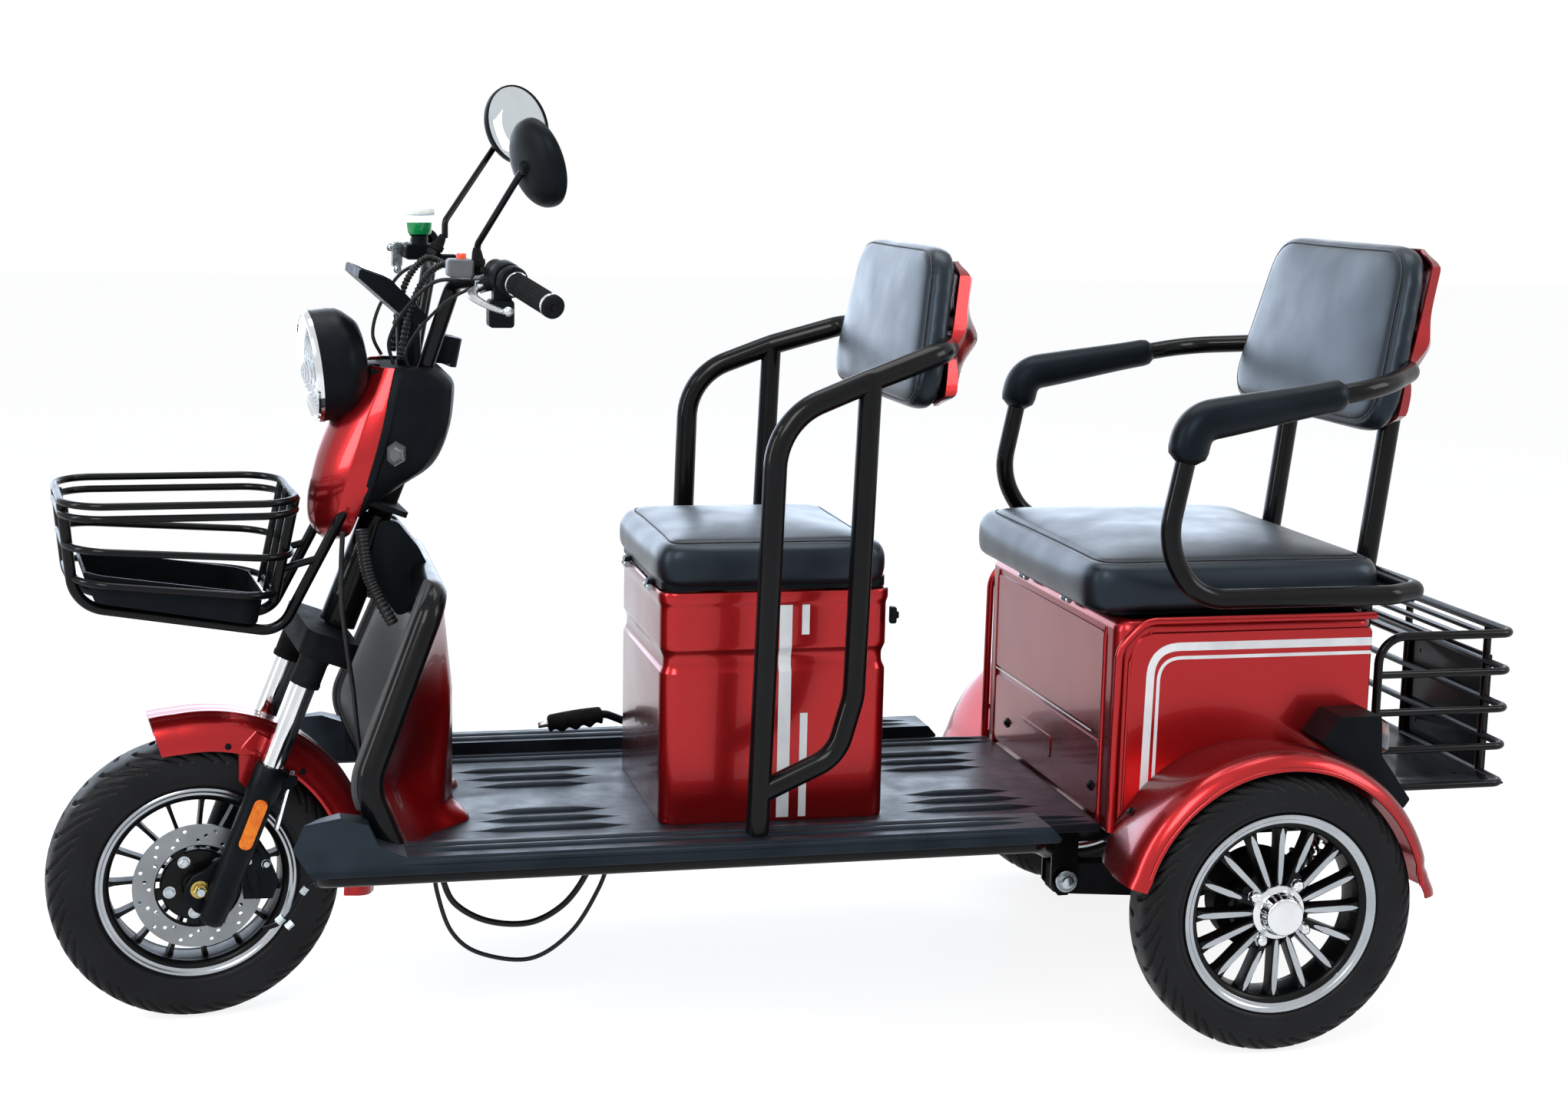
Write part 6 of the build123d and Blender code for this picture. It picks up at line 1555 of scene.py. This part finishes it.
def back_shell(name, node, x_low, x_high, z_low, z_high, half_low, half_high, depth, ridge, notch):
    """Moulded shell behind a backrest: its section swells to a ridge, with flutes up and down its back."""
    rows = []
    for step in range(45):
        share = step / 44
        z = z_low + 3 + (z_high - z_low - 6) * share
        half = half_low + (half_high - half_low) * share
        corner = min(1.0, 0.80 + 0.2 * min(share, 1 - share) / 0.08)
        half *= corner
        face = x_low + (x_high - x_low) * share
        swell = ridge * math.exp(-((share - 0.46) / 0.13) ** 2) + 0.62 * soft_step(min(share,
                1 - share) / 0.12)
        row = []
        for number in range(61):
            y = half * (1 - number / 30)
            away = abs(y) / half
            side = soft_step((1 - away) / 0.34)
            flute = 0.10 * math.exp(-((away - 0.42) / 0.07) ** 2)
            back = depth * (0.15 + (swell - flute) * (0.35 + 0.65 * side)) if away < 0.995 else 0
            rise = math.exp(-((z - notch[1]) / 24) ** 2) * soft_step((away - 0.84) / 0.12)
            row.append((face - back * (1 - 0.55 * rise) + 2 * rise, y, z))
        rows.append(row)
    shell = new_shape()
    skin(shell, rows)
    shell = thickened(shell, 3.0)
    for side in (-1, 1):
        for share in (0.12, 0.86):
            z = z_low + (z_high - z_low) * share
            face = x_low + (x_high - x_low) * share
            spot = Matrix.Translation((face - depth * 0.72, side * half_low * 0.5, z)) \
                @ SIDEWAYS
            lathe(shell, [(6, -2), (6, 2.5), (3, 3.4), (0, 3.4)], spot, 1, 24)
    return fit(name, shell, [candy_red, black_abs], "frame", [node], crease=38)


back_shell("middle_backrest_shell_moulded", "middle_backrest_shell", 447, 413, 880, 1086, 226, 180, 50,
           0.40, (456, 963))
back_shell("rear_backrest_shell_moulded", "rear_backrest_shell", -225, -287, 846, 1112, 248, 222, 46, 0.62,
           (-243, 938))

# ---------------------------------------------------------------- seat pans and arm pads
# Pressed steel pans under the cushions, black. The arm pads are thick foam in vinyl, drawn over the bent arm
# tubes, with a seam below and a full round front end.
for node, body in (("middle_seat_pan", "middle_seat"), ("rear_seat_pan", "rear_seat")):
    pan = rounded_copy(node, 1.2)
    fit(node + "_pressed", pan, satin_black, body, [node], crease=35)
ARM_LINE = (Vector((-150, 352, 926)), Vector((130, 354, 878)), Vector((163, 354, 712)))
pads = new_shape()
for side in (-1, 1):
    back, bend, foot = ARM_LINE
    start = back + (bend - back).normalized() * 60
    end = bend + (foot - bend).normalized() * 56
    line = bent([start, bend, end], 58, steps=14)
    dense = []
    for first, second in zip(line, line[1:]):
        count = max(1, int((second - first).length / 8))
        dense += [first + (second - first) * i / count for i in range(count)]
    dense = [Vector((p.x, side * p.y, p.z)) for p in dense + [line[-1]]]
    total = sum((b - a).length for a, b in zip(dense, dense[1:]))

    def swell(share):
        near_end = min(share * total, (1 - share) * total)
        round_end = math.sqrt(max(0.0, 1 - max(0.0, 1 - near_end / 15) ** 2))
        return 14.6 + (7.6 + 6.0 * soft_step((share - 0.05) / 0.6)) * round_end

    run_along(pads, dense, swell, sides=36)
# Its specular tint colours its reflections pale blue like a sky, a painted reflection colour.
foam_skin = new_material("black integral skin foam",
                         {"Specular IOR Level": 0.18, "Specular Tint": linear("#A9C8E2")})
mottle(foam_skin, 90, "#07090B", "#0D1013")
vary(foam_skin, "Roughness", 70, 0.36, 0.48)
grain(foam_skin, 1.4, 0.03)
fit("arm_pads_padded", pads, foam_skin, "frame", ["arm_pads"], crease=70)

# ---------------------------------------------------------------- rear mudguards
# Deep pressed guards, candy red, with a rolled outer edge and a flared foot in front. They are screwed to the
# box sides.
REAR_GUARD_START, REAR_GUARD_SWEEP = 12, 164
guards = new_shape()
section = flowing([(213.5, 285.2), (217, 300), (222, 330), (228, 368), (231, 400), (230, 418), (226.5, 431),
                   (219, 440), (210, 445), (206, 446)], 3)
for side in (-1, 1):
    rows = []
    for step in range(97):
        share = step / 96
        angle = math.radians(REAR_GUARD_START + REAR_GUARD_SWEEP * share)
        flare = 7 * soft_step((share - 0.955) / 0.045) + 3 * soft_step((0.03 - share) / 0.03)
        dip = 3.2 * math.exp(-((share - 0.935) / 0.012) ** 2)
        rows.append([((radius + (flare - dip) * min(1, (y - 285) / 40)) * math.cos(angle), side * y,
                      TYRE_OUTER + (radius + (flare - dip) * min(1,
                              (y - 285) / 40)) * math.sin(angle)) for radius, y in section])
    skin(guards, rows)
guards = thickened(guards, 2.4)
for side in (-1, 1):
    turns = [math.radians(REAR_GUARD_START + REAR_GUARD_SWEEP * i / 60) for i in range(2, 59)]
    edge = [(209 * math.cos(turn), side * 444.5, TYRE_OUTER + 209 * math.sin(turn)) for turn in turns]
    run_along(guards, edge, 3.4, sides=10)
    for angle in (34, 148):
        spot = Matrix.Translation((224 * math.cos(math.radians(angle)), side * 326,
                                   TYRE_OUTER + 224 * math.sin(math.radians(angle)))) \
            @ Matrix.Rotation(math.radians(90 - angle), 4, "Y") @ UPRIGHT
        bolt(guards, spot, 1, 4.5, 4)
fit("rear_mudguards_pressed", guards, [candy_red, satin_black], "frame", ["rear_mudguards"],
    crease=38)

# ---------------------------------------------------------------- tail lamps
# A black moulded wedge stands on each guard and runs down behind it; a clear ribbed lens with red and amber
# bulbs behind it faces back.
lamps = rounded_copy("tail_lamps", 3.5, 30, 4)
fit("tail_lamps_moulded", lamps, black_abs, "frame", ["tail_lamps"], crease=30)
lenses = new_shape()
for side in (-1, 1):
    y_low, y_high = 294, 354
    rows = []
    for step in range(31):
        y = side * (y_low + (y_high - y_low) * step / 30)
        ripple = 0.8 * math.cos(step * math.pi)
        rows.append([(-173, y, 401), (-178.5, y, 403), (-189 - ripple, y, 409), (-190 - ripple, y, 430),
                     (-188 - ripple, y, 446), (-181, y, 453), (-173, y, 455.5)])
    skin(lenses, rows)
    for y, finish in ((306, 1), (330, 2)):
        bulb = aimed((-172, side * y, 428), (-184, side * y, 428))
        lathe(lenses, flowing([(8, 0), (9, 4), (8, 9), (4, 12), (0, 12.5)], 3), bulb, finish, 24)
    slab(lenses, [(-170, 403), (-172, 403), (-172, 453), (-170, 453)], side * 294 if side > 0 else -354,
         side * 354 if side > 0 else -294, finish=3)
red_lens = new_material("red moulded acrylic", {"Coat Weight": 0.5, "Roughness": 0.2})
mottle(red_lens, 12, "#9C0B0E", "#B01013")
fit("tail_lenses_ribbed", lenses, [clear_plastic, red_lens, amber, mirror_bowl], "frame",
    ["tail_lenses"], crease=40)

# ---------------------------------------------------------------- rear rack
# Welded rack of round bar with a sheet floor, all powder coated black. An upright plate stands behind it,
# with four drilled holes and three low strips across it.
rack = rounded_copy("rear_rack", 0.8, 40, 2)
for y in (-30, 140):
    for z in (350, 465):
        lathe(rack, [(3.2, 0), (7.5, 0.3), (7.5, 1.4), (3.2, 1.6)],
              Matrix.Translation((-447, y, z)) @ SIDEWAYS, 0, 24)
for z in (380, 405, 430):
    slab(rack, rounded_outline(120, 9, 4.4), 0, 1.2,
         Matrix.Translation((-447, 55, z)) @ SIDEWAYS, 1, 0.4)
fit("rear_rack_welded", rack, [powder_coat, satin_black], "frame", ["rear_rack"], crease=40)

# ---------------------------------------------------------------- drive, suspension and hand brake
# Axle and swing arm are painted black over weld and casting, the dampers carry a chrome rod in a black coil,
# and the hand brake has a finger-grooved rubber grip with a bright button.
shocks = new_shape()
for side in (-1, 1):
    low, high = Vector((-60, 240 * side, 172)), Vector((-216, 200 * side, 270))
    run = (high - low).normalized()
    lathe(shocks, [(0, 0), (8, 0), (8, 20), (15, 22), (15, 96), (11, 98), (11, 104), (0, 104)],
          aimed(low, high), 0, 32)
    lathe(shocks, [(0, 100), (6, 100), (6, 176), (0, 176)], aimed(low, high), 1, 24)
    length = (high - low).length
    base = aimed(low, high)
    coil = []
    for step in range(201):
        angle = step / 200 * 2 * math.pi * 8.5
        coil.append(base @ Vector((16.5 * math.cos(angle), 26 + (length - 52) * step / 200,
                                   16.5 * math.sin(angle))))
    run_along(shocks, coil, 2.6, sides=8)
    for spot in (base @ Matrix.Translation((0, 22, 0)), base @ Matrix.Translation((0, length - 26, 0))):
        lathe(shocks, [(0, 0), (19, 0), (19, 3), (0, 3)], spot, 0, 32)
fit("shock_absorbers_coiled", shocks, [satin_black, chrome], "frame", ["shock_absorbers"],
    crease=40)

brake = new_shape()
y = -199
slab(brake, [(716, 293), (768, 293), (766, 296), (718, 296)], y - 12, y + 12, finish=0, edge=0.8)
for low in (y - 12, y + 9):
    slab(brake, [(718, 295), (766, 295), (756, 338), (734, 338)], low, low + 3, finish=0, edge=0.6)
lathe(brake, [(0, -15), (5, -15), (5, 15), (0, 15)], Matrix.Translation((742, y, 324)), 1, 20)
run_along(brake, bent([(742, y, 322), (846, y, 366), (862, y, 364)], 40), 6.2, finish=0, sides=16)
rows = []
grip_frame = aimed((850, y, 364.5), (936, y, 353.5))
grip_length = (Vector((936, y, 353.5)) - Vector((850, y, 364.5))).length
for step in range(49):
    share = step / 48
    round_end = math.sqrt(max(0.0, 1 - max(0.0, 1 - min(share, 1 - share) * grip_length / 6) ** 2))
    row = []
    for number in range(28):
        angle = 2 * math.pi * number / 28
        under = max(0.0, -math.sin(angle))
        fingers = 2.6 * under * math.cos(2 * math.pi * share * 4.0)
        radius = (13 + 1.5 * math.sin(math.pi * share) + fingers) * (0.45 + 0.55 * round_end)
        row.append((radius * math.cos(angle) * 0.9, share * grip_length, radius * math.sin(angle)))
    rows.append(row)
skin(brake, rows, grip_frame, 2, True)
add(brake, rows[0][::-1], [tuple(range(28))], grip_frame, 2)
add(brake, rows[-1], [tuple(range(28))], grip_frame, 2)
lathe(brake, [(5.5, 0), (5.5, 13), (4.5, 14.5), (0, 14.5)], aimed((936, y, 353.5), (960, y, 350.4)), 3, 24)
fit("hand_brake_lever", brake, [satin_black, zinc, moulded_rubber, chrome], "frame",
    ["hand_brake"], crease=40)
pivot = new_shape()
for side in (-1, 1):
    spot = Matrix.Translation((242, side * 236, 200)) @ (Matrix() if side > 0 else Matrix.Rotation(math.pi,
            4, "Z"))
    lathe(pivot, [(0, -2), (16, -2), (16, 1), (15, 2), (0, 2)], spot, 0, 36)
    acorn_nut(pivot, spot @ Matrix.Translation((0, 1, 0)), 0, 11, 10)
fit("swing_arm_pivot_nuts", pivot, zinc, "frame")

# ---------------------------------------------------------------- cables
# Two rubber sheathed cables hang under the floor. A corrugated conduit and a control cable bend between the
# steering head and the leg shield; the sheath is dull black with a faint sheen.
cable_rubber = new_material("black cable sheath rubber", {"Specular IOR Level": 0.25})
mottle(cable_rubber, 12, "#0B0C0D", "#131416")
vary(cable_rubber, "Roughness", 8, 0.35, 0.5)
grain(cable_rubber, 0.8, 0.02)
floor_cables = new_shape()
run_along(floor_cables, flowing([(1130, 92, 238), (1124, 92, 208), (1106, 92, 168), (1060, 93, 140),
                                 (1000, 93, 134),
                                 (952, 94, 158), (920, 94, 200), (908, 94, 238)], 10), 4.5, sides=14)
run_along(floor_cables, flowing([(1138, 110, 238), (1132, 110, 190), (1112, 110, 132), (1072, 109, 98),
                                 (1000, 109, 86),
                                 (942, 108, 122), (902, 108, 186), (885, 108, 238)], 10), 3.2, sides=12)
fit("floor_cables_run", floor_cables, cable_rubber, "frame", ["cables"], crease=60)

conduit = flowing([(1231, 78, 705), (1228, 79, 672), (1222, 81, 640), (1209, 85, 610), (1190, 96, 575)], 22)
loose = new_shape()
run_along(loose, conduit, lambda share: 8.2 + 1.1 * math.sin(share * 2 * math.pi * 26), sides=18)
run_along(loose, flowing([(1257, 92, 705), (1260, 97, 655), (1260, 107, 605), (1254, 117, 545),
                          (1247, 124, 490), (1238, 142, 400), (1216, 150, 310)], 10), 3.5, sides=12)
bmesh.ops.remove_doubles(loose, verts=loose.verts, dist=0.01)
bmesh.ops.recalc_face_normals(loose, faces=loose.faces)
loose_mesh = bpy.data.meshes.new("head_cables_loose")
loose.to_mesh(loose_mesh)
loose.free()
loose_mesh.transform(standing)
loose_mesh.materials.append(cable_rubber)
loose_mesh.shade_smooth()
loose_piece = bpy.data.objects.new("head_cables_loose", loose_mesh)
bpy.context.scene.collection.objects.link(loose_piece)
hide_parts("head_cables")
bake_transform(loose_piece)
